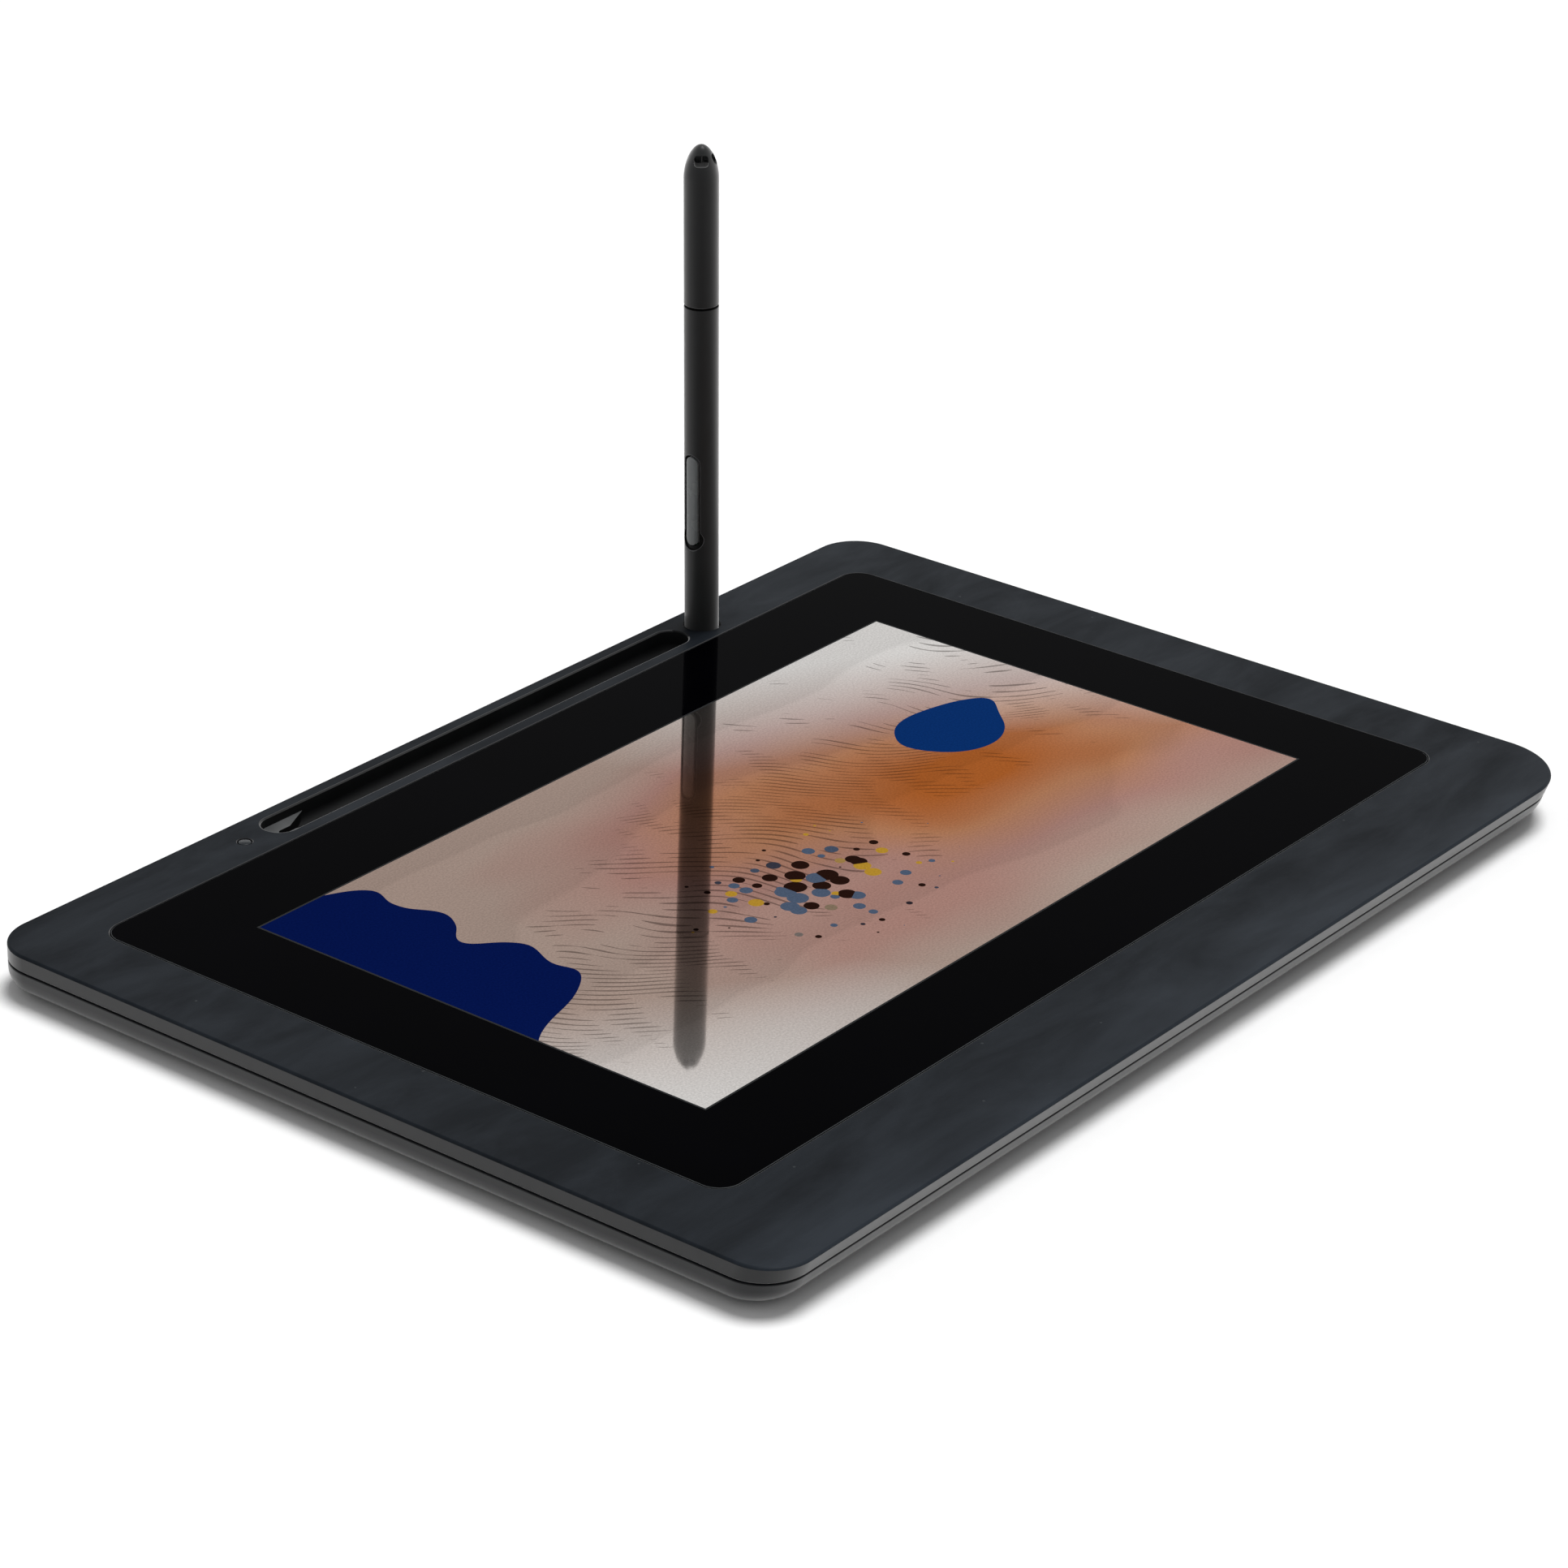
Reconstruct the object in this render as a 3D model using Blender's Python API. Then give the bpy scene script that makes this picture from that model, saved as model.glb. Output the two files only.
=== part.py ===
"""Pen display: a flat monitor that is drawn on, with a pen tray, a pen stand hole and its pen.

The origin is under the middle of the housing, on the surface it lies on. +X is the user's right,
+Y is away from the user, towards the tray, and +Z is up. Lengths are in metres.
"""
import math

import bmesh
import bpy
from mathutils import Matrix, Vector

# Fits and construction values
FIT = 0.0003                # clearance between neighbouring pieces
OVERRUN = 0.001             # how far a cutter runs past what it cuts
SINK = 0.0003               # how far a rib or boss is sunk into the wall that carries it
WELD = 0.000001             # points closer than this are one point
CORNER_STEPS = 8            # facets in a quarter turn of an outline
HIDDEN_STEPS = 2            # the same, on pieces inside the housing
ROUND_STEPS = 40            # facets round the pen
SMALL_STEPS = 16            # facets round a screw, post or boss
EDGE_STEPS = 4              # facets in the rounded lower edge
RIM_STEPS = 2               # facets in the small rounding of the top edge
SMOOTH_ANGLE = math.radians(35.0)

# Housing, both shells
HOUSING_W = 0.3080
HOUSING_D = 0.2190
BODY_H = 0.0105             # underside of the rear cover to the top face
FOOT_STANDOFF = 0.0010      # the feet hold the cover this far off the table
BACK_CORNER_R = 0.0115
FRONT_LEFT_CORNER_R = 0.0105
FRONT_RIGHT_CORNER_R = 0.0190
TOP_EDGE_R = 0.0006
UNDER_EDGE_R = 0.0045
FRONT_RAKE_SHARE = 0.36     # the front wall runs inwards by this share of the depth below the top
WALL = 0.0019
TOP_PLATE_T = 0.0020
FLOOR_T = 0.0016
PARTING_DROP = 0.0042       # top face to the joint between the shells
PARTING_GAP = 0.0005
LIP_T = 0.0008
LIP_H = 0.0012

# Cover glass and the stack below it
GLASS_SIDE_MARGIN = 0.0188  # glass edge to housing edge
GLASS_FRONT_MARGIN = 0.0285
GLASS_BACK_MARGIN = 0.0163
GLASS_T = 0.0011
GLASS_CORNER_R = 0.0055
GASKET_T = 0.0004
GASKET_W = 0.0060
LEDGE_W = 0.0080
LEDGE_T = 0.0012
LEDGE_RIM = 0.0018
SCREEN_SIDE_BORDER = 0.02385    # black border of the glass round the picture
SCREEN_END_BORDER = 0.02445
ACTIVE_SHIFT_X = 0.0006
PANEL_SIDE_BORDER = 0.0060
PANEL_END_BORDER = 0.0080
PANEL_T = 0.0012
PANEL_CORNER_R = 0.0012
BACKLIGHT_T = 0.0012
DIGITIZER_T = 0.0006
SHIELD_T = 0.0004
CHASSIS_W = 0.0025
CHASSIS_CORNER_R = 0.0030

# Tray, pen stand and status light, in one row along the back edge
ROW_FROM_BACK = 0.0085
TRAY_FROM_SIDE = 0.0794     # tray end to housing edge
TRAY_SHIFT = 0.0004         # the tray's middle line lies this far behind the row's
TRAY_W = 0.0090
TRAY_DEPTH = 0.0055
TRAY_RIM = 0.0003           # chamfer round the tray's mouth
SHELF_L = 0.0164            # shelf at the tray's left end, where a fingertip tips the pen up
SHELF_DEPTH = 0.0024
SHELF_CONE_L = 0.0077       # the hollow narrows into the shelf like the pen's nose
SHELF_SLOT_L = 0.0043       # and goes on as a slot as for the nib
SHELF_SLOT_W = 0.0020
TRAY_WALL = 0.0008
TRAY_FLOOR_R = 0.0022
STAND_FROM_TRAY = 0.0075    # tray end to the middle of the pen stand, and of the light
STAND_WALL = 0.0014
STAND_FLOOR_T = 0.0010
STAND_CONE_H = 0.0055       # the hole narrows like the pen's nose below this height over its floor
LIGHT_R = 0.0015
LIGHT_RECESS = 0.0001
LIGHT_COLLAR_R = 0.0026
LIGHT_COLLAR_T = 0.0006
LIGHT_STEM_R = 0.0012

# Screws, bosses and feet
BOSS_FROM_SIDE = 0.0140
BOSS_FROM_FRONT = 0.0145
BOSS_FROM_BACK = 0.0125
BOSS_UNDER_LEDGE = 0.0050
BOSS_R = 0.0032
COVER_BOSS_R = 0.0042
COVER_BOSS_H = 0.0016
SCREW_R = 0.00125
SCREW_TAPER = 0.0006
SCREW_HEAD_R = 0.0025
SCREW_HEAD_H = 0.0013
SCREW_HEAD_EDGE = 0.0004
SCREW_CROSS_L = 0.0026
SCREW_CROSS_W = 0.0005
SCREW_CROSS_DEPTH = 0.0008
FOOT_R = 0.0060
FOOT_RECESS = 0.0006
FOOT_EDGE = 0.0003
FOOT_FROM_SIDE = 0.0300
FOOT_FROM_FRONT = 0.0280
FOOT_FROM_BACK = 0.0300

# Ribs on the rear cover's floor
RIB_T = 0.0012
LONG_RIB_SHARE = 0.895      # lengths and places as shares of the panel's width and depth
LONG_RIB_PLACE_SHARE = 0.32
CROSS_RIB_SHARE = 0.85
CROSS_RIB_PLACE_SHARE = 0.32

# Main board, connector and power button at the back left
BOARD_FROM_BOSS = 0.0053
BOARD_D = 0.0218
BOARD_T = 0.0010
BOARD_FROM_WALL = 0.0014
BOARD_FROM_LIGHT = 0.0036   # right end of the board to the middle of the light
POST_R = 0.0020
POST_INSET = 0.0050
CHIP_T = 0.0010
CHIP_DEPTH_SHARE = 0.33     # of the board's depth, in a row at its front
CHIP_ROW_SHARE = 0.25
CHIP_SHARES = ((-0.30, 0.16), (-0.04, 0.20), (0.24, 0.12))  # place and width, of the board's width
LED_T = 0.0006
LED_W = 0.0016
SOCKET_W = 0.0089
SOCKET_H = 0.0032
SOCKET_L = 0.0073
SOCKET_WALL = 0.0003
SOCKET_POCKET = 0.0062
SOCKET_TONGUE_W = 0.0060
SOCKET_TONGUE_T = 0.0007
SOCKET_RECESS = 0.0004
SOCKET_PLACE_SHARE = -0.26  # from the board's middle, of its width
BUTTON_W = 0.0080
BUTTON_H = 0.0026
BUTTON_PLACE_SHARE = 0.12
BUTTON_RECESS = 0.0002
BUTTON_FLANGE = 0.0010
BUTTON_FLANGE_T = 0.0005
BUTTON_TRAVEL = 0.0004
SWITCH_W = 0.0060
SWITCH_D = 0.0030
SWITCH_H = 0.0030
PLUNGER_R = 0.0010
PLUNGER_L = 0.0005

# Flat cable between the panel and the board
CABLE_W = 0.0220
CABLE_T = 0.0003
CABLE_UNDER_PANEL = 0.0200
CABLE_UNDER_BOARD = 0.0070
CABLE_BEND_BACK = 0.0073    # the bend starts this far under the panel
CABLE_STEPS = 8

# Pen, measured up its axis from the nib's tip
PEN_LENGTH = 0.1333
PEN_R = 0.00428
PEN_LEAN = math.radians(1.25)   # the pen has play in its hole and leans towards -X
PEN_BORE_R = 0.0032
PEN_JOINT_SHARE = 0.695     # nib tip to the middle of the joint ring, of the pen's length
PEN_JOINT_GAP = 0.0005
PEN_EDGE = 0.00015
NIB_OUT = 0.0012
NIB_R = 0.0008
NIB_TRAVEL = 0.0004
NOSE_L = 0.0054
NOSE_TIP_R = 0.0018
NOSE_LAND = 0.0038
NOSE_SHOULDER = 0.0030
NOSE_STEPS = 5
DOME_L = 0.0083
DOME_FALL = 1.8             # exponents of the dome's curve
DOME_SWELL = 0.52
DOME_STEPS = 9
DOME_TIP_SHARE = 0.02
COIL_L = 0.0096
SENSOR_L = 0.0080
SENSOR_SOCKET = 0.0040
PEN_BOARD_W = 0.0048
PEN_BOARD_T = 0.0010
PLUG_REACH = 0.0083         # to each side of the joint
PLUG_EDGE = 0.0005

# Slot for a tether in the dome of the cap: two windows that meet on the pen's axis
TETHER_FROM_TOP = 0.0034
TETHER_H = 0.0026
TETHER_CORNER_R = 0.0008
TETHER_FRONT_W = 0.0034
TETHER_SIDE_W = 0.0023
TETHER_FRONT_ANGLE = math.radians(219.0)
TETHER_SIDE_ANGLE = math.radians(297.0)

# Side switch of the pen, on the side that faces -X
SIDE_SWITCH_START = 0.0303
SIDE_SWITCH_L = 0.0234
SIDE_SWITCH_W = 0.0034
SIDE_SWITCH_DROP = 0.00015  # the switch lies this far below the barrel's surface
SIDE_SWITCH_T = 0.0012
SIDE_SWITCH_PRESS = math.radians(1.2)
SCOOP_DEPTH = 0.00045
SCOOP_MARGIN = 0.0005
SCOOP_R = 0.0027
SCOOP_CENTRE = 0.0319
SWITCH_BOSS_W = 0.0018
SWITCH_LUG_H = 0.0014
SWITCH_LUG_FROM_END = 0.0017
TACT_W = 0.0026
TACT_L = 0.0032
TACT_H = 0.0011

# Heights that follow from the sizes above
TOP_Z = FOOT_STANDOFF + BODY_H
PARTING_Z = TOP_Z - PARTING_DROP
UPPER_RIM_Z = PARTING_Z + PARTING_GAP / 2
LOWER_RIM_Z = PARTING_Z - PARTING_GAP / 2
LIP_TOP_Z = UPPER_RIM_Z + LIP_H
PLATE_Z = TOP_Z - TOP_PLATE_T
FLOOR_Z = FOOT_STANDOFF + FLOOR_T
GLASS_LOW_Z = TOP_Z - GLASS_T
LEDGE_TOP_Z = GLASS_LOW_Z - GASKET_T - 2 * FIT
LEDGE_LOW_Z = LEDGE_TOP_Z - LEDGE_T
PANEL_Z = GLASS_LOW_Z - FIT - PANEL_T
BACKLIGHT_Z = PANEL_Z - FIT - BACKLIGHT_T
DIGITIZER_Z = BACKLIGHT_Z - FIT - DIGITIZER_T
SHIELD_Z = DIGITIZER_Z - FIT - SHIELD_T
RIB_TOP_Z = SHIELD_Z - FIT
TRAY_FLOOR_Z = TOP_Z - TRAY_DEPTH
STAND_LOW_Z = FLOOR_Z + FIT
STAND_FLOOR_Z = STAND_LOW_Z + STAND_FLOOR_T
COVER_BOSS_Z = FLOOR_Z + COVER_BOSS_H
HEAD_SEAT_Z = FOOT_STANDOFF + FIT + SCREW_HEAD_H + FIT
SOCKET_LOW_Z = PARTING_Z - SOCKET_H / 2
BOARD_TOP_Z = SOCKET_LOW_Z - FIT
BOARD_Z = BOARD_TOP_Z - BOARD_T

# Places and sizes in plan
GLASS_W = HOUSING_W - 2 * GLASS_SIDE_MARGIN
GLASS_D = HOUSING_D - GLASS_FRONT_MARGIN - GLASS_BACK_MARGIN
ACTIVE_W = GLASS_W - 2 * SCREEN_SIDE_BORDER
ACTIVE_D = GLASS_D - 2 * SCREEN_END_BORDER
TRAY_L = HOUSING_W - 2 * TRAY_FROM_SIDE
BACK_Y = HOUSING_D / 2
GLASS_Y = BACK_Y - GLASS_BACK_MARGIN - GLASS_D / 2
ROW_Y = BACK_Y - ROW_FROM_BACK
TRAY_Y = ROW_Y + TRAY_SHIFT
STAND_X = TRAY_L / 2 + STAND_FROM_TRAY
LIGHT_X = -STAND_X
STAND_R = PEN_R + FIT
BOARD_LEFT = -HOUSING_W / 2 + BOSS_FROM_SIDE + COVER_BOSS_R + BOARD_FROM_BOSS
BOARD_RIGHT = LIGHT_X + BOARD_FROM_LIGHT
BOARD_W = BOARD_RIGHT - BOARD_LEFT
BOARD_X = (BOARD_LEFT + BOARD_RIGHT) / 2
SOCKET_X = BOARD_X + SOCKET_PLACE_SHARE * BOARD_W
BUTTON_X = BOARD_X + BUTTON_PLACE_SHARE * BOARD_W
BOARD_BACK_Y = BACK_Y - WALL - BOARD_FROM_WALL
BOARD_Y = BOARD_BACK_Y - BOARD_D / 2
BUTTON_FACE_Y = BACK_Y - BUTTON_RECESS
FLANGE_Y = BACK_Y - WALL - FIT
PLUNGER_Y = FLANGE_Y - BUTTON_FLANGE_T - FIT - BUTTON_TRAVEL
PANEL_W = ACTIVE_W + 2 * PANEL_SIDE_BORDER
PANEL_D = ACTIVE_D + 2 * PANEL_END_BORDER
CHASSIS_OUT_W = PANEL_W + 2 * (FIT + CHASSIS_W)
CHASSIS_OUT_D = PANEL_D + 2 * (FIT + CHASSIS_W)
PEN_BASE_Z = STAND_FLOOR_Z + FIT

# Places along the pen, from the nib's tip
PEN_JOINT = PEN_JOINT_SHARE * PEN_LENGTH
BARREL_END = PEN_JOINT - PEN_JOINT_GAP / 2
CAP_START = PEN_JOINT + PEN_JOINT_GAP / 2
BORE_START = NIB_OUT + NOSE_LAND + NOSE_SHOULDER
COIL_START = BORE_START + FIT
SENSOR_START = COIL_START + COIL_L + FIT
NIB_END = SENSOR_START + SENSOR_SOCKET - NIB_TRAVEL - FIT
PEN_BOARD_START = SENSOR_START + SENSOR_L + FIT
PLUG_START = PEN_JOINT - PLUG_REACH
PLUG_END = PEN_JOINT + PLUG_REACH
PEN_BOARD_END = PLUG_START - FIT
PEN_BOARD_L = PEN_BOARD_END - PEN_BOARD_START
INNER_R = PEN_BORE_R - FIT
NIB_HOLE_R = NIB_R + FIT
SIDE_SWITCH_END = SIDE_SWITCH_START + SIDE_SWITCH_L
SIDE_SWITCH_R = PEN_R - SIDE_SWITCH_DROP
SIDE_SWITCH_BACK = SIDE_SWITCH_R - SIDE_SWITCH_T
LUG_AT = SIDE_SWITCH_END - SWITCH_LUG_FROM_END
BOARD_FACE = PEN_BOARD_T / 2 + FIT
TACT_FACE = BOARD_FACE + TACT_H
SWITCH_STROKE = (LUG_AT - SCOOP_CENTRE) * math.tan(SIDE_SWITCH_PRESS)
BOSS_FACE = TACT_FACE + FIT + SWITCH_STROKE


def clear_scene():
    """Start from an empty file."""
    for old in list(bpy.data.objects):
        bpy.data.objects.remove(old, do_unlink=True)


def finish(name, colour, roughness, metallic=0.0, ior=1.5):
    """One Principled material."""
    made = bpy.data.materials.new(name)
    made.use_nodes = True
    shader = made.node_tree.nodes["Principled BSDF"]
    shader.inputs["Base Color"].default_value = (*colour, 1.0)
    shader.inputs["Roughness"].default_value = roughness
    shader.inputs["Metallic"].default_value = metallic
    shader.inputs["IOR"].default_value = ior
    made.diffuse_color = (*colour, 1.0)
    return made


def add_object(name, mesh, material=None, parent=None):
    """Link a mesh as a named object."""
    made = bpy.data.objects.new(name, mesh)
    bpy.context.scene.collection.objects.link(made)
    if material is not None:
        mesh.materials.append(material)
    made.parent = parent
    return made


def from_bmesh(name, shape, material=None, parent=None):
    """Turn an edited shape into an object with its faces facing out and round faces smooth."""
    bmesh.ops.recalc_face_normals(shape, faces=shape.faces)
    mesh = bpy.data.meshes.new(name)
    shape.to_mesh(mesh)
    shape.free()
    mesh.shade_smooth()
    mesh.set_sharp_from_angle(angle=SMOOTH_ANGLE)
    return add_object(name, mesh, material, parent)


def quarter(cx, cy, radius, start, steps):
    """Points of a quarter turn, anticlockwise from the start angle."""
    points = []
    for step in range(steps + 1):
        angle = start + math.pi / 2 * step / steps
        points.append((cx + radius * math.cos(angle), cy + radius * math.sin(angle)))
    return points


def drop_doubles(points):
    """Leave out points that repeat the one before them."""
    kept = []
    for point in points:
        if not kept or (Vector(point) - Vector(kept[-1])).length > WELD:
            kept.append(point)
    if (Vector(kept[0]) - Vector(kept[-1])).length <= WELD:
        kept.pop()
    return kept


def outline(x0, x1, y0, y1, front_right, back_right, back_left, front_left, steps=CORNER_STEPS):
    """A rectangle with round corners, each with a radius of its own."""
    points = quarter(x1 - front_right, y0 + front_right, front_right, -math.pi / 2, steps)
    points += quarter(x1 - back_right, y1 - back_right, back_right, 0.0, steps)
    points += quarter(x0 + back_left, y1 - back_left, back_left, math.pi / 2, steps)
    points += quarter(x0 + front_left, y0 + front_left, front_left, math.pi, steps)
    return drop_doubles(points)


def oblong(width, depth, radius, steps=CORNER_STEPS):
    """A rectangle with four like corners about the origin."""
    return outline(-width / 2, width / 2, -depth / 2, depth / 2, radius, radius, radius, radius, steps)


def housing_ring(z, inset):
    """The housing's outline at one height, drawn in from the walls by an inset."""
    rake = FRONT_RAKE_SHARE * max(TOP_Z - TOP_EDGE_R - z, 0.0)
    half_w = HOUSING_W / 2 - inset
    front = -HOUSING_D / 2 + inset + rake
    back = HOUSING_D / 2 - inset
    corners = (FRONT_RIGHT_CORNER_R, BACK_CORNER_R, BACK_CORNER_R, FRONT_LEFT_CORNER_R)
    radii = [radius - inset for radius in corners]
    return [(x, y, z) for x, y in outline(-half_w, half_w, front, back, *radii)]


def loft(name, rings, material=None, parent=None):
    """A closed solid through rings of as many points each, from the lowest ring to the highest."""
    shape = bmesh.new()
    loops = [[shape.verts.new(point) for point in ring] for ring in rings]
    count = len(loops[0])
    for low, high in zip(loops, loops[1:]):
        for index in range(count):
            after = (index + 1) % count
            shape.faces.new((low[index], low[after], high[after], high[index]))
    shape.faces.new(list(reversed(loops[0])))
    shape.faces.new(loops[-1])
    return from_bmesh(name, shape, material, parent)


def prism(name, points, low, high, material=None, parent=None):
    """A flat outline carried from one height to another."""
    rings = [[(x, y, z) for x, y in points] for z in (low, high)]
    return loft(name, rings, material, parent)


def slab(name, width, depth, radius, low, high, centre, material=None, steps=CORNER_STEPS):
    """A plate with round corners, its middle over a point."""
    made = prism(name, oblong(width, depth, radius, steps), low, high, material)
    made.location = (centre[0], centre[1], 0.0)
    return made


def add_box(shape, centre, size):
    """Add a box to a shape."""
    place = Matrix.Translation(centre) @ Matrix.Diagonal((*size, 1.0))
    bmesh.ops.create_cube(shape, size=1.0, matrix=place)


def boxes(name, places, material=None, parent=None):
    """Separate boxes in one object, each given as a centre and a size."""
    shape = bmesh.new()
    for centre, size in places:
        add_box(shape, centre, size)
    return from_bmesh(name, shape, material, parent)


def posts(name, centres, radius, low, high, steps=SMALL_STEPS):
    """Separate upright cylinders in one object."""
    shape = bmesh.new()
    for x, y in centres:
        place = Matrix.Translation((x, y, (low + high) / 2))
        bmesh.ops.create_cone(shape, cap_ends=True, segments=steps, radius1=radius, radius2=radius,
                              depth=high - low, matrix=place)
    return from_bmesh(name, shape)


def turned(name, profile, steps, closed, material=None, parent=None):
    """Spin a profile of radius and height pairs about the Z axis."""
    shape = bmesh.new()
    verts = [shape.verts.new((radius, 0.0, z)) for radius, z in profile]
    edges = [shape.edges.new(pair) for pair in zip(verts, verts[1:])]
    if closed:
        edges.append(shape.edges.new((verts[-1], verts[0])))
    bmesh.ops.spin(shape, geom=verts + edges, cent=(0.0, 0.0, 0.0), axis=(0.0, 0.0, 1.0),
                   angle=2 * math.pi, steps=steps, use_merge=True)
    bmesh.ops.remove_doubles(shape, verts=shape.verts, dist=WELD)
    return from_bmesh(name, shape, material, parent)


def combine(target, tool, operation):
    """Join, cut or keep what is common with another object, which is then only a guide."""
    modifier = target.modifiers.new(tool.name, "BOOLEAN")
    modifier.operation = operation
    modifier.solver = "EXACT"
    modifier.object = tool
    tool.hide_render = True
    tool.display_type = "WIRE"


def cut(target, tool):
    combine(target, tool, "DIFFERENCE")


def join(target, tool):
    combine(target, tool, "UNION")


def boss_places():
    """The six screws: three along the front, two at the back corners and one under the ledge."""
    side = HOUSING_W / 2 - BOSS_FROM_SIDE
    front = -HOUSING_D / 2 + BOSS_FROM_FRONT
    back = BACK_Y - BOSS_FROM_BACK
    ledge = GLASS_Y + GLASS_D / 2 - BOSS_UNDER_LEDGE
    return [(-side, front), (0.0, front), (side, front), (-side, back), (0.0, ledge), (side, back)]


def foot_places():
    """Named places of the four feet."""
    side = HOUSING_W / 2 - FOOT_FROM_SIDE
    front = -HOUSING_D / 2 + FOOT_FROM_FRONT
    back = BACK_Y - FOOT_FROM_BACK
    return {"foot_front_left": (-side, front), "foot_front_right": (side, front),
            "foot_back_left": (-side, back), "foot_back_right": (side, back)}


def back_wall_tool(name, width, height, x):
    """An oblong hole through the back wall, centred on the joint between the shells."""
    tool = prism(name, oblong(width, height, height / 2), -OVERRUN, WALL + 2 * OVERRUN)
    tool.rotation_euler = (math.pi / 2, 0.0, 0.0)
    tool.location = (x, BACK_Y, PARTING_Z)
    return tool


def cut_back_wall(target):
    """Cut the connector's and the power button's openings."""
    socket = back_wall_tool(target.name + "_socket_hole", SOCKET_W + 2 * FIT, SOCKET_H + 2 * FIT, SOCKET_X)
    button = back_wall_tool(target.name + "_button_hole", BUTTON_W + 2 * FIT, BUTTON_H + 2 * FIT, BUTTON_X)
    cut(target, socket)
    cut(target, button)


def tray_groove(name):
    """The tray's hollow: an oblong whose floor is rounded like a gutter."""
    rings = []
    for step in range(EDGE_STEPS + 1):
        angle = math.pi / 2 * step / EDGE_STEPS
        inset = TRAY_FLOOR_R * (1 - math.sin(angle))
        z = TRAY_FLOOR_Z + TRAY_FLOOR_R * (1 - math.cos(angle))
        width = TRAY_L - 2 * inset
        depth = TRAY_W - 2 * inset
        rings.append([(x, y, z) for x, y in oblong(width, depth, depth / 2)])
    rings.append([(x, y, TOP_Z - TRAY_RIM) for x, y in oblong(TRAY_L, TRAY_W, TRAY_W / 2)])
    mouth_w = TRAY_W + 2 * TRAY_RIM
    for z in (TOP_Z, TOP_Z + OVERRUN):
        rings.append([(x, y, z) for x, y in oblong(TRAY_L + 2 * TRAY_RIM, mouth_w, mouth_w / 2)])
    tool = loft(name, rings)
    tool.location = (0.0, TRAY_Y, 0.0)
    cut(tool, tray_shelf(name + "_shelf"))
    return tool


def tray_shelf(name):
    """The block that stays standing at the tray's left end, round a hollow shaped like the pen's nose."""
    left = -TRAY_L / 2 - OVERRUN
    cone = -TRAY_L / 2 + SHELF_L - SHELF_CONE_L
    tip = cone - SHELF_SLOT_L
    side = TRAY_W / 2 + OVERRUN
    slot = SHELF_SLOT_W / 2
    wide = cone + SHELF_CONE_L * (side - slot) / (TRAY_W / 2 - slot)
    front = [(left, -side), (wide, -side), (cone, -slot), (tip, -slot)]
    back = [(x, -y) for x, y in reversed(front)]
    return prism(name, [(x, TRAY_Y + y) for x, y in front + back], TRAY_FLOOR_Z - OVERRUN, TOP_Z - SHELF_DEPTH)


def stand_form(name, wall, low, high):
    """The pen stand's hole, or with a wall the cup that holds it: a cone below a cylinder."""
    cone_r = NOSE_TIP_R + FIT + wall
    wide_r = STAND_R + wall
    wide_z = STAND_FLOOR_Z + STAND_CONE_H
    form = turned(name, [(0.0, low), (cone_r, low), (wide_r, wide_z), (wide_r, high), (0.0, high)],
                  ROUND_STEPS, False)
    form.location = (STAND_X, ROW_Y, 0.0)
    return form


def upper_shell(material):
    """The upper shell's walls and top plate, with room inside its rim for the lower shell's lip."""
    rings = [housing_ring(UPPER_RIM_Z, 0.0)]
    for step in range(RIM_STEPS + 1):
        angle = math.pi / 2 * step / RIM_STEPS
        z = TOP_Z - TOP_EDGE_R * (1 - math.sin(angle))
        rings.append(housing_ring(z, TOP_EDGE_R * (1 - math.cos(angle))))
    shell = loft("front_housing", rings, material)

    rim_inset = WALL - LIP_T - FIT
    hollow = loft("front_hollow", [housing_ring(UPPER_RIM_Z - OVERRUN, rim_inset),
                                   housing_ring(LIP_TOP_Z + FIT, rim_inset),
                                   housing_ring(LIP_TOP_Z + FIT, WALL),
                                   housing_ring(PLATE_Z, WALL)])
    cut(shell, hollow)
    return shell


def make_front_housing(material):
    """Upper shell: top face, side skirt, glass recess with its ledge, tray, pen stand and bosses."""
    shell = upper_shell(material)
    centre = (0.0, GLASS_Y)
    rim = 2 * (FIT + LEDGE_RIM)
    rim_r = GLASS_CORNER_R + FIT + LEDGE_RIM
    join(shell, slab("glass_seat", GLASS_W + rim, GLASS_D + rim, rim_r, LEDGE_LOW_Z, PLATE_Z + SINK, centre))
    tray_out = TRAY_W + 2 * TRAY_WALL
    join(shell, slab("tray_body", TRAY_L + 2 * TRAY_WALL, tray_out, tray_out / 2,
                     TRAY_FLOOR_Z - TRAY_WALL, PLATE_Z + SINK, (0.0, TRAY_Y)))
    join(shell, stand_form("stand_body", STAND_WALL, STAND_LOW_Z, PLATE_Z + SINK))
    join(shell, posts("screw_bosses", boss_places(), BOSS_R, COVER_BOSS_Z + FIT, PLATE_Z + SINK))

    recess = slab("glass_recess", GLASS_W + 2 * FIT, GLASS_D + 2 * FIT, GLASS_CORNER_R + FIT,
                  LEDGE_TOP_Z, TOP_Z + OVERRUN, centre)
    window = slab("glass_window", GLASS_W - 2 * LEDGE_W, GLASS_D - 2 * LEDGE_W, CHASSIS_CORNER_R,
                  LEDGE_LOW_Z - OVERRUN, TOP_Z, centre, None, HIDDEN_STEPS)
    cut(shell, recess)
    cut(shell, window)
    cut(shell, tray_groove("tray_groove"))
    cut(shell, stand_form("stand_hole", 0.0, STAND_FLOOR_Z, TOP_Z + OVERRUN))
    cut(shell, posts("light_hole", [(LIGHT_X, ROW_Y)], LIGHT_R + FIT, PLATE_Z - OVERRUN, TOP_Z + OVERRUN))
    cut(shell, posts("pilot_holes", boss_places(), SCREW_R + FIT, COVER_BOSS_Z - OVERRUN, LEDGE_LOW_Z))
    cut_back_wall(shell)


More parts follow.
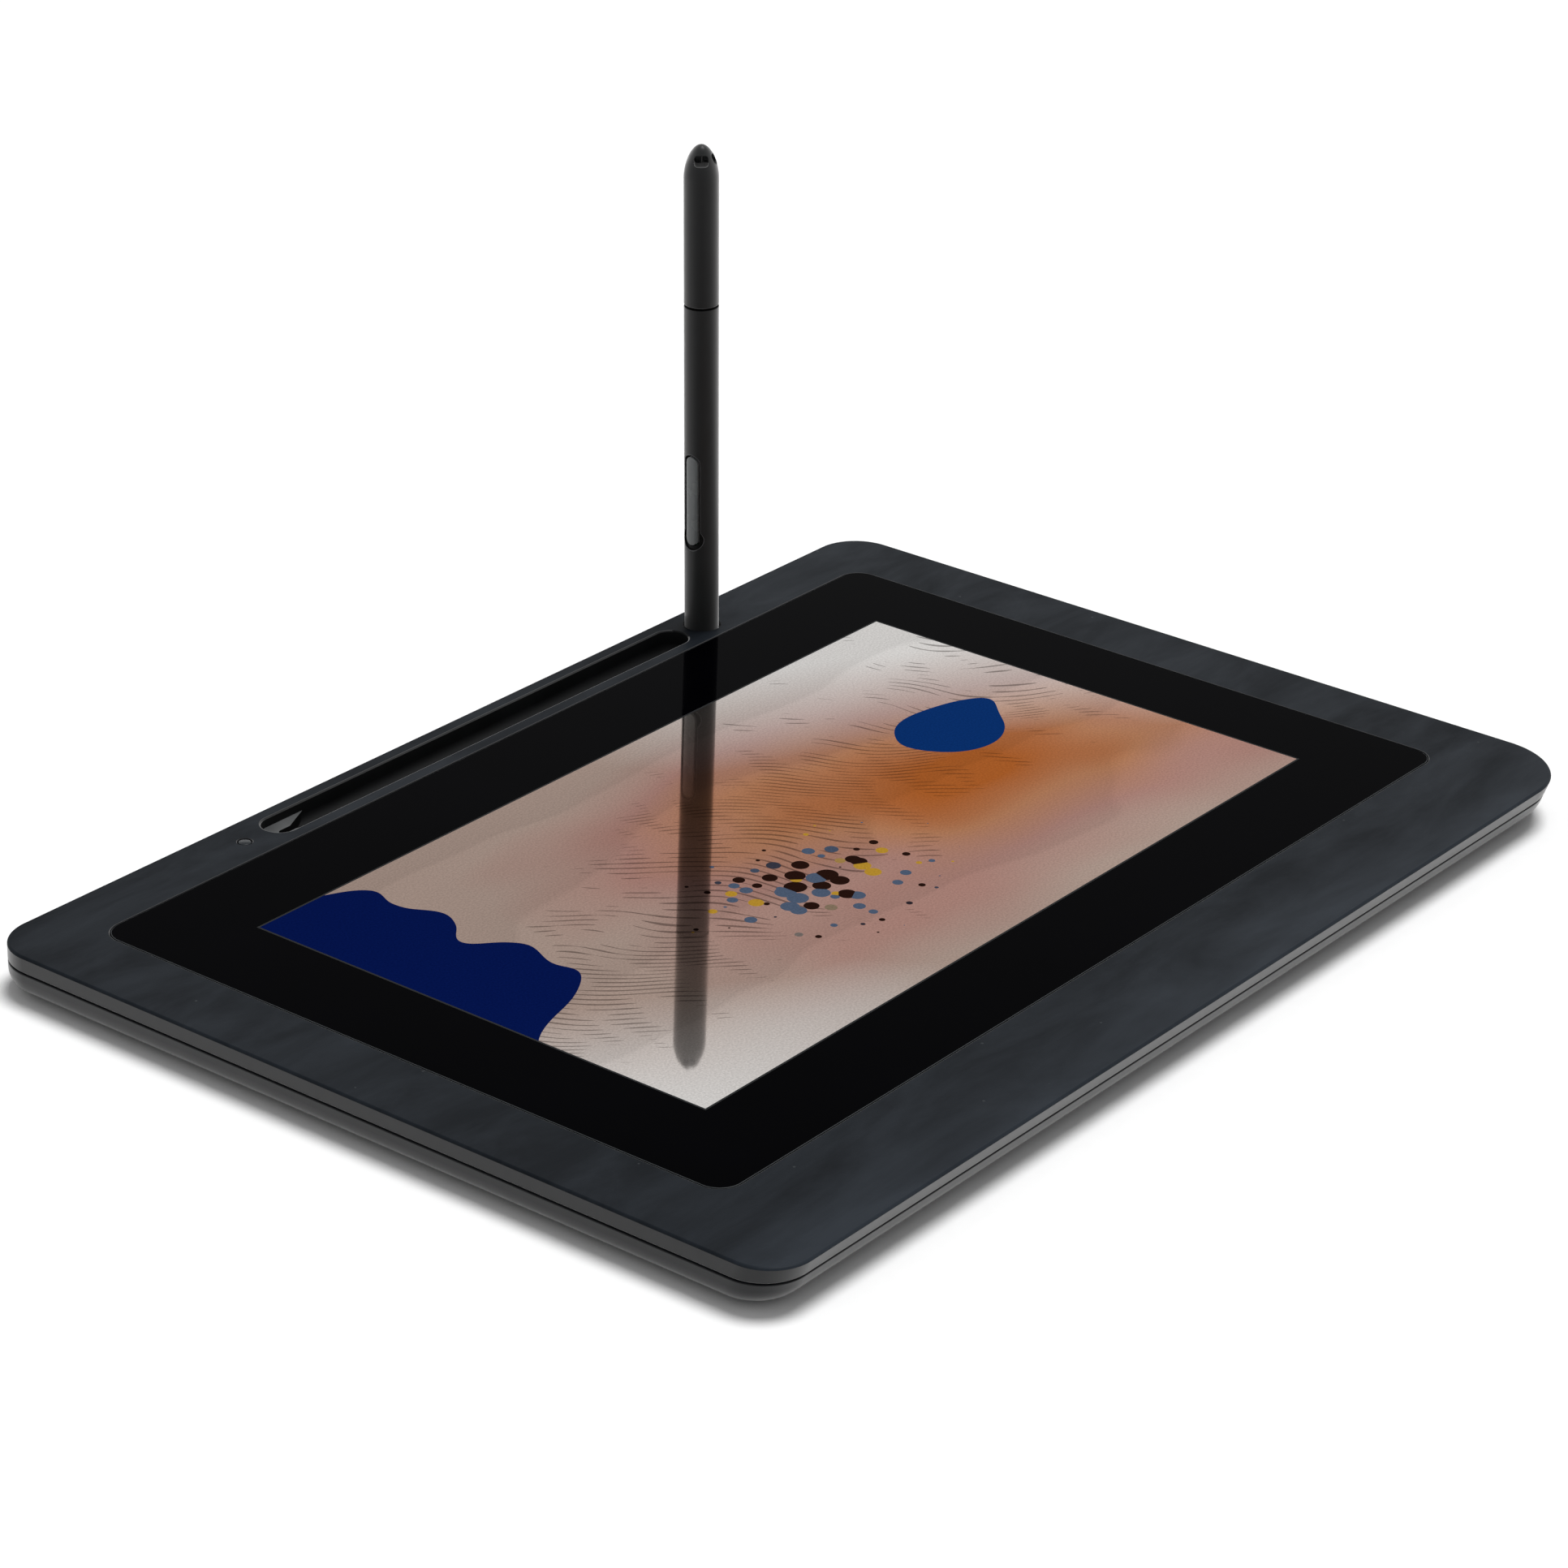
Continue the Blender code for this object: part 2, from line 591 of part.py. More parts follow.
def lower_shell(material):
    """The lower shell's pan, with a rounded lower edge and a lip."""
    rings = []
    for step in range(EDGE_STEPS + 1):
        angle = math.pi / 2 * (1 - step / EDGE_STEPS)
        z = FOOT_STANDOFF + UNDER_EDGE_R * (1 - math.sin(angle))
        rings.append(housing_ring(z, UNDER_EDGE_R * (1 - math.cos(angle))))
    lip_inset = WALL - LIP_T
    rings.append(housing_ring(LOWER_RIM_Z, 0.0))
    rings.append(housing_ring(LOWER_RIM_Z, lip_inset))
    rings.append(housing_ring(LIP_TOP_Z, lip_inset))
    cover = loft("rear_cover", rings, material)

    inner = []
    for step in range(EDGE_STEPS + 1):
        angle = math.pi / 2 * (1 - step / EDGE_STEPS)
        z = FLOOR_Z + (UNDER_EDGE_R - FLOOR_T) * (1 - math.sin(angle))
        inner.append(housing_ring(z, WALL + (UNDER_EDGE_R - WALL) * (1 - math.cos(angle))))
    inner.append(housing_ring(LIP_TOP_Z + OVERRUN, WALL))
    cut(cover, loft("cover_hollow", inner))
    return cover


def make_rear_cover(material):
    """Lower shell: a shallow pan with ribs, bosses, and seats for the screws and the feet."""
    cover = lower_shell(material)
    rib_low = FLOOR_Z - SINK
    rib_z = (rib_low + RIB_TOP_Z) / 2
    rib_h = RIB_TOP_Z - rib_low
    long_ribs = []
    for side in (-1, 1):
        rib_y = GLASS_Y + side * LONG_RIB_PLACE_SHARE * PANEL_D
        long_ribs.append(((0.0, rib_y, rib_z), (LONG_RIB_SHARE * PANEL_W, RIB_T, rib_h)))
    cross_ribs = []
    for side in (-1, 0, 1):
        rib_x = side * CROSS_RIB_PLACE_SHARE * PANEL_W
        cross_ribs.append(((rib_x, GLASS_Y, rib_z), (RIB_T, CROSS_RIB_SHARE * PANEL_D, rib_h)))
    join(cover, boxes("long_ribs", long_ribs))
    join(cover, boxes("cross_ribs", cross_ribs))
    join(cover, posts("cover_bosses", boss_places(), COVER_BOSS_R, rib_low, COVER_BOSS_Z))
    join(cover, posts("board_posts", board_posts(), POST_R, rib_low, BOARD_Z - FIT))

    low = FOOT_STANDOFF - OVERRUN
    cut(cover, posts("screw_seats", boss_places(), SCREW_HEAD_R + FIT, low, HEAD_SEAT_Z))
    cut(cover, posts("screw_holes", boss_places(), SCREW_R + FIT, low, COVER_BOSS_Z + OVERRUN))
    cut(cover, posts("foot_seats", foot_places().values(), FOOT_R + FIT, low, FOOT_STANDOFF + FOOT_RECESS,
                     ROUND_STEPS))
    cut_back_wall(cover)


def make_glass(material):
    """Cover glass, flush with the top face."""
    slab("cover_glass", GLASS_W, GLASS_D, GLASS_CORNER_R, GLASS_LOW_Z, TOP_Z, (0.0, GLASS_Y), material)


def make_gasket(material):
    """Adhesive foam frame between the glass and its ledge."""
    low = LEDGE_TOP_Z + FIT
    high = low + GASKET_T
    centre = (0.0, GLASS_Y)
    made = slab("glass_gasket", GLASS_W, GLASS_D, GLASS_CORNER_R, low, high, centre, material)
    cut(made, slab("gasket_window", GLASS_W - 2 * GASKET_W, GLASS_D - 2 * GASKET_W, CHASSIS_CORNER_R,
                   low - OVERRUN, high + OVERRUN, centre, None, HIDDEN_STEPS))


def make_panel_stack(panel, light, sheet, steel, plastic):
    """Screen panel, backlight, pen sensing sheet, steel shield and the frame that holds them."""
    centre = (ACTIVE_SHIFT_X, GLASS_Y)
    layers = (("lcd_panel", PANEL_Z, PANEL_T, panel), ("backlight", BACKLIGHT_Z, BACKLIGHT_T, light),
              ("digitizer_sheet", DIGITIZER_Z, DIGITIZER_T, sheet))
    for name, low, thick, material in layers:
        slab(name, PANEL_W, PANEL_D, PANEL_CORNER_R, low, low + thick, centre, material, HIDDEN_STEPS)
    slab("shield_plate", CHASSIS_OUT_W, CHASSIS_OUT_D, CHASSIS_CORNER_R, SHIELD_Z, SHIELD_Z + SHIELD_T,
         centre, steel, HIDDEN_STEPS)
    low = SHIELD_Z + SHIELD_T + FIT
    high = PANEL_Z + PANEL_T
    frame = slab("panel_frame", CHASSIS_OUT_W, CHASSIS_OUT_D, CHASSIS_CORNER_R, low, high, centre, plastic,
                 HIDDEN_STEPS)
    cut(frame, slab("frame_window", PANEL_W + 2 * FIT, PANEL_D + 2 * FIT, PANEL_CORNER_R,
                    low - OVERRUN, high + OVERRUN, centre, None, HIDDEN_STEPS))


def make_light_pipe(material):
    """Status light: a clear pin in the top face, with a collar below it, over the board's lamp."""
    lamp_z = BOARD_TOP_Z + LED_T + FIT
    collar_z = PLATE_Z - FIT
    profile = [(0.0, TOP_Z - LIGHT_RECESS), (LIGHT_R, TOP_Z - LIGHT_RECESS), (LIGHT_R, collar_z),
               (LIGHT_COLLAR_R, collar_z), (LIGHT_COLLAR_R, collar_z - LIGHT_COLLAR_T),
               (LIGHT_STEM_R, collar_z - LIGHT_COLLAR_T), (LIGHT_STEM_R, lamp_z), (0.0, lamp_z)]
    made = turned("status_light_pipe", profile, SMALL_STEPS, False, material)
    made.location = (LIGHT_X, ROW_Y, 0.0)


def board_posts():
    """Places of the four posts below the main board."""
    half_w = BOARD_W / 2 - POST_INSET
    half_d = BOARD_D / 2 - POST_INSET
    return [(BOARD_X + sx * half_w, BOARD_Y + sy * half_d) for sx in (-1, 1) for sy in (-1, 1)]


def make_main_board(material):
    """Main board with its chips, and the lamp below the light pipe."""
    board = slab("main_board", BOARD_W, BOARD_D, PANEL_CORNER_R, BOARD_Z, BOARD_TOP_Z, (BOARD_X, BOARD_Y),
                 material, HIDDEN_STEPS)
    chip_z = BOARD_TOP_Z + (CHIP_T - SINK) / 2
    chip_y = BOARD_Y - CHIP_ROW_SHARE * BOARD_D
    chips = []
    for place_share, width_share in CHIP_SHARES:
        centre = (BOARD_X + place_share * BOARD_W, chip_y, chip_z)
        chips.append((centre, (width_share * BOARD_W, CHIP_DEPTH_SHARE * BOARD_D, CHIP_T + SINK)))
    lamp_z = BOARD_TOP_Z + (LED_T - SINK) / 2
    chips.append(((LIGHT_X, ROW_Y, lamp_z), (LED_W, LED_W, LED_T + SINK)))
    join(board, boxes("board_chips", chips))


def make_socket(material):
    """Connector: a drawn steel shell with a tongue inside."""
    shell = prism("data_socket", oblong(SOCKET_W, SOCKET_H, SOCKET_H / 2), 0.0, SOCKET_L, material)
    inner_w = SOCKET_W - 2 * SOCKET_WALL
    inner_h = SOCKET_H - 2 * SOCKET_WALL
    hollow = prism("socket_hollow", oblong(inner_w, inner_h, inner_h / 2), -OVERRUN, SOCKET_POCKET)
    tongue = boxes("socket_tongue", [((0.0, 0.0, SOCKET_L / 2),
                                      (SOCKET_TONGUE_W, SOCKET_TONGUE_T, SOCKET_L - 2 * SOCKET_WALL))])
    for piece in (shell, hollow, tongue):
        piece.rotation_euler = (math.pi / 2, 0.0, 0.0)
        piece.location = (SOCKET_X, BACK_Y - SOCKET_RECESS, PARTING_Z)
    cut(shell, hollow)
    join(shell, tongue)


def make_power_button(material):
    """Power button: an oblong cap with a flange behind the wall. It is pressed towards -Y."""
    pivot = Vector((BUTTON_X, BUTTON_FACE_Y, PARTING_Z))
    cap_depth = BUTTON_FACE_Y - FLANGE_Y + SINK
    cap = prism("power_button", oblong(BUTTON_W, BUTTON_H, BUTTON_H / 2), 0.0, cap_depth, material)
    start = BUTTON_FACE_Y - FLANGE_Y
    flange = prism("button_flange", oblong(BUTTON_W + 2 * BUTTON_FLANGE, BUTTON_H + BUTTON_FLANGE,
                                           BUTTON_H / 2), start, start + BUTTON_FLANGE_T)
    for piece in (cap, flange):
        piece.rotation_euler = (math.pi / 2, 0.0, 0.0)
        piece.location = pivot
    join(cap, flange)


def make_power_switch(material):
    """Push switch behind the power button, with its plunger."""
    body_y = PLUNGER_Y - PLUNGER_L - SWITCH_D / 2
    switch_z = BOARD_TOP_Z + FIT + SWITCH_H / 2
    body = boxes("power_switch", [((BUTTON_X, body_y, switch_z), (SWITCH_W, SWITCH_D, SWITCH_H))], material)
    plunger = prism("power_plunger", oblong(2 * PLUNGER_R, 2 * PLUNGER_R, PLUNGER_R), 0.0, PLUNGER_L + SINK)
    plunger.rotation_euler = (math.pi / 2, 0.0, 0.0)
    plunger.location = (BUTTON_X, PLUNGER_Y, switch_z)
    join(body, plunger)


def make_cable(material):
    """Flat cable: under the shield, down past the frame and on below the board."""
    shield_back = GLASS_Y + CHASSIS_OUT_D / 2
    board_front = BOARD_Y - BOARD_D / 2
    high = RIB_TOP_Z - CABLE_T / 2
    low = BOARD_Z - FIT - CABLE_T / 2
    start = shield_back - CABLE_UNDER_PANEL
    bend = shield_back - CABLE_BEND_BACK
    end = board_front + CABLE_UNDER_BOARD
    path = [(start, high), (bend, high)]
    for step in range(1, CABLE_STEPS):
        share = step / CABLE_STEPS
        ease = (1 - math.cos(math.pi * share)) / 2
        path.append((bend + (board_front - bend) * share, high + (low - high) * ease))
    path += [(board_front, low), (end, low)]
    shape = bmesh.new()
    rows = [[shape.verts.new((side * CABLE_W / 2, y, z)) for side in (-1, 1)] for y, z in path]
    for near, far in zip(rows, rows[1:]):
        shape.faces.new((near[0], near[1], far[1], far[0]))
    cable = from_bmesh("panel_cable", shape, material)
    cable.location = (BOARD_X, 0.0, 0.0)
    thick = cable.modifiers.new("thickness", "SOLIDIFY")
    thick.thickness = CABLE_T
    thick.offset = 0.0


def screw_mesh(material):
    """One pan head screw, its head down, with a cross recess."""
    shank_top = LEDGE_LOW_Z - FIT
    head_low = FOOT_STANDOFF + FIT
    head_high = head_low + SCREW_HEAD_H
    edge_z = head_low + SCREW_HEAD_EDGE
    profile = [(0.0, shank_top), (SCREW_R - SCREW_TAPER, shank_top), (SCREW_R, shank_top - SCREW_TAPER),
               (SCREW_R, head_high), (SCREW_HEAD_R, head_high), (SCREW_HEAD_R, edge_z),
               (SCREW_HEAD_R - SCREW_HEAD_EDGE, head_low), (0.0, head_low)]
    return turned("screw_form", profile, SMALL_STEPS, False, material)


def make_screws(material):
    """Six case screws that share one form."""
    form = screw_mesh(material)
    head_low = FOOT_STANDOFF + FIT
    names = ("screw_front_left", "screw_front_middle", "screw_front_right",
             "screw_back_left", "screw_back_middle", "screw_back_right")
    depth = 2 * SCREW_CROSS_DEPTH
    for name, (x, y) in zip(names, boss_places()):
        screw = add_object(name, form.data)
        screw.location = (x, y, 0.0)
        along = boxes(name + "_slot_a", [((x, y, head_low), (SCREW_CROSS_L, SCREW_CROSS_W, depth))])
        across = boxes(name + "_slot_b", [((x, y, head_low), (SCREW_CROSS_W, SCREW_CROSS_L, depth))])
        cut(screw, along)
        cut(screw, across)
    bpy.data.objects.remove(form, do_unlink=True)


def make_feet(material):
    """Four round rubber feet in shallow recesses."""
    high = FOOT_STANDOFF + FOOT_RECESS - FIT
    profile = [(0.0, high), (FOOT_R, high), (FOOT_R, FOOT_EDGE), (FOOT_R - FOOT_EDGE, 0.0), (0.0, 0.0)]
    form = turned("foot_form", profile, ROUND_STEPS, False, material)
    for name, (x, y) in foot_places().items():
        foot = add_object(name, form.data)
        foot.location = (x, y, 0.0)
    bpy.data.objects.remove(form, do_unlink=True)


def pen_empty():
    """The pen's axis, at the nib's tip."""
    axis = bpy.data.objects.new("pen_axis", None)
    bpy.context.scene.collection.objects.link(axis)
    axis.location = (STAND_X, ROW_Y, PEN_BASE_Z)
    axis.rotation_euler = (0.0, -PEN_LEAN, 0.0)
    return axis


def nose_profile():
    """The nose swells from its tip to the barrel."""
    points = []
    for step in range(NOSE_STEPS + 1):
        share = step / NOSE_STEPS
        radius = NOSE_TIP_R + (PEN_R - NOSE_TIP_R) * math.sin(math.pi / 2 * share)
        points.append((radius, NIB_OUT + NOSE_L * share))
    return points


def rod(name, radius, start, end, axis):
    """A plain cylinder round the pen's axis."""
    profile = [(0.0, start), (radius, start), (radius, end), (0.0, end)]
    return turned(name, profile, ROUND_STEPS, False, None, axis)


def facing_tool(name, points, near, far, axis):
    """An outline in the pen's YZ plane, carried in from the -X side between two distances."""
    tool = prism(name, points, near, far, None, axis)
    tool.rotation_euler = (0.0, -math.pi / 2, 0.0)
    return tool


def upright_oblong(start, end, width):
    """A round-ended slot drawn along the pen, in the turned axes of facing_tool."""
    half = width / 2
    return [(z, y) for z, y in outline(start, end, -half, half, half, half, half, half)]


def make_pen_barrel(material, axis):
    """Barrel: a bored tube with the nose, the switch slot and a scoop round the switch's lower end."""
    profile = nose_profile()
    profile += [(PEN_R, BARREL_END - PEN_EDGE), (PEN_R - PEN_EDGE, BARREL_END), (PEN_BORE_R, BARREL_END),
                (PEN_BORE_R, BORE_START), (NIB_HOLE_R, NIB_OUT + NOSE_LAND), (NIB_HOLE_R, NIB_OUT)]
    barrel = turned("pen_barrel", profile, ROUND_STEPS, True, material, axis)
    far = PEN_R + OVERRUN
    edge = SCOOP_MARGIN
    channel_form = upright_oblong(SIDE_SWITCH_START - edge, SIDE_SWITCH_END + edge, SIDE_SWITCH_W + 2 * edge)
    channel = facing_tool("switch_channel", channel_form, 0.0, far, axis)
    scoop_form = upright_oblong(SCOOP_CENTRE - SCOOP_R, SCOOP_CENTRE + SCOOP_R, 2 * SCOOP_R)
    scoop = facing_tool("switch_scoop", scoop_form, 0.0, far, axis)
    core = rod("scoop_core", PEN_R - SCOOP_DEPTH, SIDE_SWITCH_START - far, SIDE_SWITCH_END + far, axis)
    slot_form = upright_oblong(SIDE_SWITCH_START - FIT, SIDE_SWITCH_END + FIT, SIDE_SWITCH_W + 2 * FIT)
    slot = facing_tool("switch_slot", slot_form, BOARD_FACE, far, axis)
    join(channel, scoop)
    cut(channel, core)
    cut(barrel, channel)
    cut(barrel, slot)


def dome_profile():
    """The cap's dome, from its shoulder to its tip."""
    points = []
    for step in range(DOME_STEPS):
        share = 1 - (1 - DOME_TIP_SHARE) * math.sin(math.pi / 2 * step / (DOME_STEPS - 1))
        radius = PEN_R * (1 - (1 - share) ** DOME_FALL) ** DOME_SWELL
        points.append((radius, PEN_LENGTH - DOME_L * share))
    return points


def tether_window(name, width, angle, axis):
    """An oblong window from the pen's axis out through the dome."""
    tool = prism(name, oblong(width, TETHER_H, TETHER_CORNER_R), 0.0, PEN_R + OVERRUN, None, axis)
    tool.rotation_euler = (math.pi / 2, 0.0, angle + math.pi / 2)
    tool.location = (0.0, 0.0, PEN_LENGTH - TETHER_FROM_TOP)
    return tool


def make_pen_cap(material, axis):
    """Cap: the rear half with its domed end and the tether slot."""
    profile = [(0.0, PLUG_END + FIT), (PEN_BORE_R, PLUG_END + FIT), (PEN_BORE_R, CAP_START),
               (PEN_R - PEN_EDGE, CAP_START), (PEN_R, CAP_START + PEN_EDGE)]
    profile += dome_profile()
    profile.append((0.0, PEN_LENGTH))
    cap = turned("pen_cap", profile, ROUND_STEPS, False, material, axis)
    front = tether_window("tether_front", TETHER_FRONT_W, TETHER_FRONT_ANGLE, axis)
    side = tether_window("tether_side", TETHER_SIDE_W, TETHER_SIDE_ANGLE, axis)
    cut(cap, front)
    cut(cap, side)


def make_nib(material, axis):
    """Nib: a plain pin with a round tip. It slides up into the pen."""
    ball = [(NIB_R * math.sin(math.pi / 2 * step / NOSE_STEPS),
             NIB_R * (1 - math.cos(math.pi / 2 * step / NOSE_STEPS))) for step in range(NOSE_STEPS + 1)]
    turned("nib", ball + [(NIB_R, NIB_END), (0.0, NIB_END)], SMALL_STEPS, False, material, axis)


def make_coil(material, axis):
    """Ferrite core with its winding, round the nib."""
    end = COIL_START + COIL_L
    turned("resonator_coil", [(NIB_HOLE_R, COIL_START), (INNER_R, COIL_START), (INNER_R, end),
                              (NIB_HOLE_R, end)], SMALL_STEPS, True, material, axis)


def make_sensor(material, axis):
    """Pressure sensor capsule with the socket that the nib is pushed into."""
    end = SENSOR_START + SENSOR_L
    socket = SENSOR_START + SENSOR_SOCKET
    turned("pressure_sensor", [(0.0, socket), (NIB_HOLE_R, socket), (NIB_HOLE_R, SENSOR_START),
                               (INNER_R, SENSOR_START), (INNER_R, end), (0.0, end)],
           SMALL_STEPS, False, material, axis)


def make_pen_board(material, axis):
    """The pen's circuit board, on its axis and across the switch."""
    middle = (PEN_BOARD_START + PEN_BOARD_END) / 2
    boxes("pen_board", [((0.0, 0.0, middle), (PEN_BOARD_T, PEN_BOARD_W, PEN_BOARD_L))], material, axis)


def make_pen_carrier(material, axis):
    """Half-round rail that the board lies on."""
    points = []
    flat = BOARD_FACE
    reach = math.acos(flat / INNER_R)
    for step in range(2 * CORNER_STEPS + 1):
        angle = -reach + reach * step / CORNER_STEPS
        points.append((INNER_R * math.cos(angle), INNER_R * math.sin(angle)))
    prism("pen_carrier", points, PEN_BOARD_START, PEN_BOARD_END, material, axis)


def make_plug(material, axis):
    """Plug that joins the barrel and the cap. It shows in the joint ring."""
    small = INNER_R - PLUG_EDGE
    turned("pen_plug", [(0.0, PLUG_START), (small, PLUG_START), (INNER_R, PLUG_START + PLUG_EDGE),
                        (INNER_R, PLUG_END - PLUG_EDGE), (small, PLUG_END), (0.0, PLUG_END)],
           ROUND_STEPS, False, material, axis)


def make_tact_switch(material, axis):
    """Small push switch on the pen's board, below the side switch."""
    centre = (-(BOARD_FACE + TACT_FACE) / 2, 0.0, SCOOP_CENTRE)
    boxes("pen_tact_switch", [(centre, (TACT_H, TACT_W, TACT_L))], material, axis)


def make_side_switch(material, axis):
    """Side switch: a long round-ended key that follows the barrel and turns about its upper lug."""
    pivot = Vector((-SIDE_SWITCH_BACK, 0.0, LUG_AT))
    key = facing_tool("side_switch", upright_oblong(SIDE_SWITCH_START, SIDE_SWITCH_END, SIDE_SWITCH_W),
                      SIDE_SWITCH_BACK, PEN_R + OVERRUN, axis)
    place = Matrix.Translation(-pivot) @ key.rotation_euler.to_matrix().to_4x4()
    key.data.transform(place)
    key.rotation_euler = (0.0, 0.0, 0.0)
    key.location = pivot
    form = rod("switch_form", SIDE_SWITCH_R, SIDE_SWITCH_START - OVERRUN, SIDE_SWITCH_END + OVERRUN, axis)
    combine(key, form, "INTERSECT")
    inner = SIDE_SWITCH_BACK + SINK
    lug = ((-(BOARD_FACE + inner) / 2, 0.0, LUG_AT), (inner - BOARD_FACE, SIDE_SWITCH_W / 2, SWITCH_LUG_H))
    boss = ((-(BOSS_FACE + inner) / 2, 0.0, SCOOP_CENTRE), (inner - BOSS_FACE, SWITCH_BOSS_W, SWITCH_BOSS_W))
    join(key, boxes("switch_feet", [lug, boss], None, axis))
    key.data.materials.append(material)


def main():
    clear_scene()
    shell = finish("moulded_housing", (0.026, 0.031, 0.038), 0.42)
    cover = finish("moulded_cover", (0.024, 0.028, 0.033), 0.5)
    glass = finish("cover_glass", (0.005, 0.005, 0.006), 0.05)
    foam = finish("black_foam", (0.01, 0.01, 0.01), 0.9)
    panel = finish("screen_panel", (0.35, 0.2, 0.16), 0.4)
    acrylic = finish("light_guide", (0.8, 0.8, 0.78), 0.3)
    sheet = finish("sensor_sheet", (0.35, 0.18, 0.05), 0.5)
    steel = finish("sheet_steel", (0.5, 0.5, 0.5), 0.35, 1.0, 2.5)
    frame = finish("frame_plastic", (0.7, 0.7, 0.7), 0.5)
    board = finish("circuit_board", (0.02, 0.12, 0.05), 0.5)
    rubber = finish("foot_rubber", (0.012, 0.012, 0.012), 0.8)
    clear = finish("light_pipe", (0.6, 0.62, 0.65), 0.2)
    key = finish("key_plastic", (0.1, 0.11, 0.115), 0.35)
    pen_black = finish("pen_plastic", (0.018, 0.019, 0.02), 0.5)
    nib_plastic = finish("nib_plastic", (0.03, 0.03, 0.03), 0.5)
    copper = finish("copper_winding", (0.6, 0.25, 0.12), 0.4, 1.0, 1.1)

    make_front_housing(shell)
    make_rear_cover(cover)
    make_glass(glass)
    make_gasket(foam)
    make_panel_stack(panel, acrylic, sheet, steel, frame)
    make_light_pipe(clear)
    make_main_board(board)
    make_socket(steel)
    make_power_button(key)
    make_power_switch(steel)
    make_cable(sheet)
    make_screws(steel)
    make_feet(rubber)

    axis = pen_empty()
    make_pen_barrel(pen_black, axis)
    make_pen_cap(pen_black, axis)
    make_nib(nib_plastic, axis)
    make_coil(copper, axis)
    make_sensor(frame, axis)
    make_pen_board(board, axis)
    make_pen_carrier(frame, axis)
    make_plug(pen_black, axis)
    make_tact_switch(steel, axis)
    make_side_switch(key, axis)


main()
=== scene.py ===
"""Pen display: the finished look of the housing, the screen, the pen and all that is inside them."""

import math

import bmesh
import bpy
from bpy.props import FloatProperty, FloatVectorProperty, IntProperty, PointerProperty
from mathutils import Matrix, Vector


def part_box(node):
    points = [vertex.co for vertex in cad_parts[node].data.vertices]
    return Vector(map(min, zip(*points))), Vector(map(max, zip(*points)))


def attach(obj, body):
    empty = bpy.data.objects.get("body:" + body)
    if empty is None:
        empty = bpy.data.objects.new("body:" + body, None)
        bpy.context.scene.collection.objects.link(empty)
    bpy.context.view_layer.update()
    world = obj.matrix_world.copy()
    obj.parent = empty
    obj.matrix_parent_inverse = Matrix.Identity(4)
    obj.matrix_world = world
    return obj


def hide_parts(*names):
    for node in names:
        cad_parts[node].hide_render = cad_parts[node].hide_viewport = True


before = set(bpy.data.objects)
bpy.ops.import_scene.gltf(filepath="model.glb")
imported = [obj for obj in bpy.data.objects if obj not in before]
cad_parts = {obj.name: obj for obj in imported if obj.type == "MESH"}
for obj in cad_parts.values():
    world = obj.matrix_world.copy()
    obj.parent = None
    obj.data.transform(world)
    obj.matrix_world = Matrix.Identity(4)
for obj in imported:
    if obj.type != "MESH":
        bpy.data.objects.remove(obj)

bl_info = {
    "name": "Pen display",
    "version": (1, 0, 0),
    "blender": (4, 5, 0),
    "location": "View3D > Sidebar > Pen display",
    "description": "Makes the visible pieces, the materials and the stage of a pen display",
    "category": "Object",
}

MM = 0.001
WELD = 0.01 * MM            # points closer than this are one point
SMOOTH_ANGLE = math.radians(32.0)
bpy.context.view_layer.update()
SHELL_LOW, SHELL_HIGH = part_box("front_housing")
COVER_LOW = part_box("rear_cover")[0]
GLASS_LOW, GLASS_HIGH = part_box("cover_glass")
GLASS_W, GLASS_D = GLASS_HIGH.x - GLASS_LOW.x, GLASS_HIGH.y - GLASS_LOW.y
GLASS_MIDDLE = ((GLASS_LOW.x + GLASS_HIGH.x) / 2, (GLASS_LOW.y + GLASS_HIGH.y) / 2)
PANEL_LOW, PANEL_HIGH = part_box("lcd_panel")


def linear(code):
    """An sRGB hex code as linear red, green and blue."""
    shares = [int(code[place:place + 2], 16) / 255.0 for place in (0, 2, 4)]
    return tuple(s / 12.92 if s <= 0.04045 else ((s + 0.055) / 1.055) ** 2.4 for s in shares)


def length(name, description, default):
    """A length that a user may change, in metres."""
    return FloatProperty(name=name, description=description, default=default, min=0.0, unit="LENGTH",
                         precision=5)


def colour(name, description, code):
    """A colour that a user may change, given as a hex code."""
    return FloatVectorProperty(name=name, description=description, default=linear(code), size=3,
                               min=0.0, max=1.0, subtype="COLOR")


class HousingSizes(bpy.types.PropertyGroup):
    """Sizes and colours of the two shells."""
    width: length("Width", "Housing from side to side", SHELL_HIGH.x - SHELL_LOW.x)
    depth: length("Depth", "Housing from front to back", SHELL_HIGH.y - SHELL_LOW.y)
    top: length("Top height", "Top face over the table", SHELL_HIGH.z)
    joint: length("Joint height", "Joint between the shells over the table", 0.0073)
    joint_gap: length("Joint gap", "Height of the groove between the shells", 0.0005)
    back_corner: length("Back corner radius", "Corners beside the tray", 0.0115)
    front_left: length("Front left corner radius", "Corner at the user's left hand", 0.0105)
    front_right: length("Front right corner radius", "Corner at the user's right hand", 0.0190)
    rim: length("Top edge radius", "Rounding between the top face and the walls", 0.0006)
    under: length("Lower edge radius", "Rounding between the walls and the underside", 0.0045)
    rake: FloatProperty(name="Front wall rake", description="How far the front wall runs in for its height",
                        default=0.36, min=0.0, max=1.0, subtype="FACTOR")
    top_colour: colour("Top face", "Moulded colour of the top face", "15191e")
    side_colour: colour("Walls", "Moulded colour of the walls", "141517")
    inside_colour: colour("Inside", "Colour of the shells' inner faces", "202226")


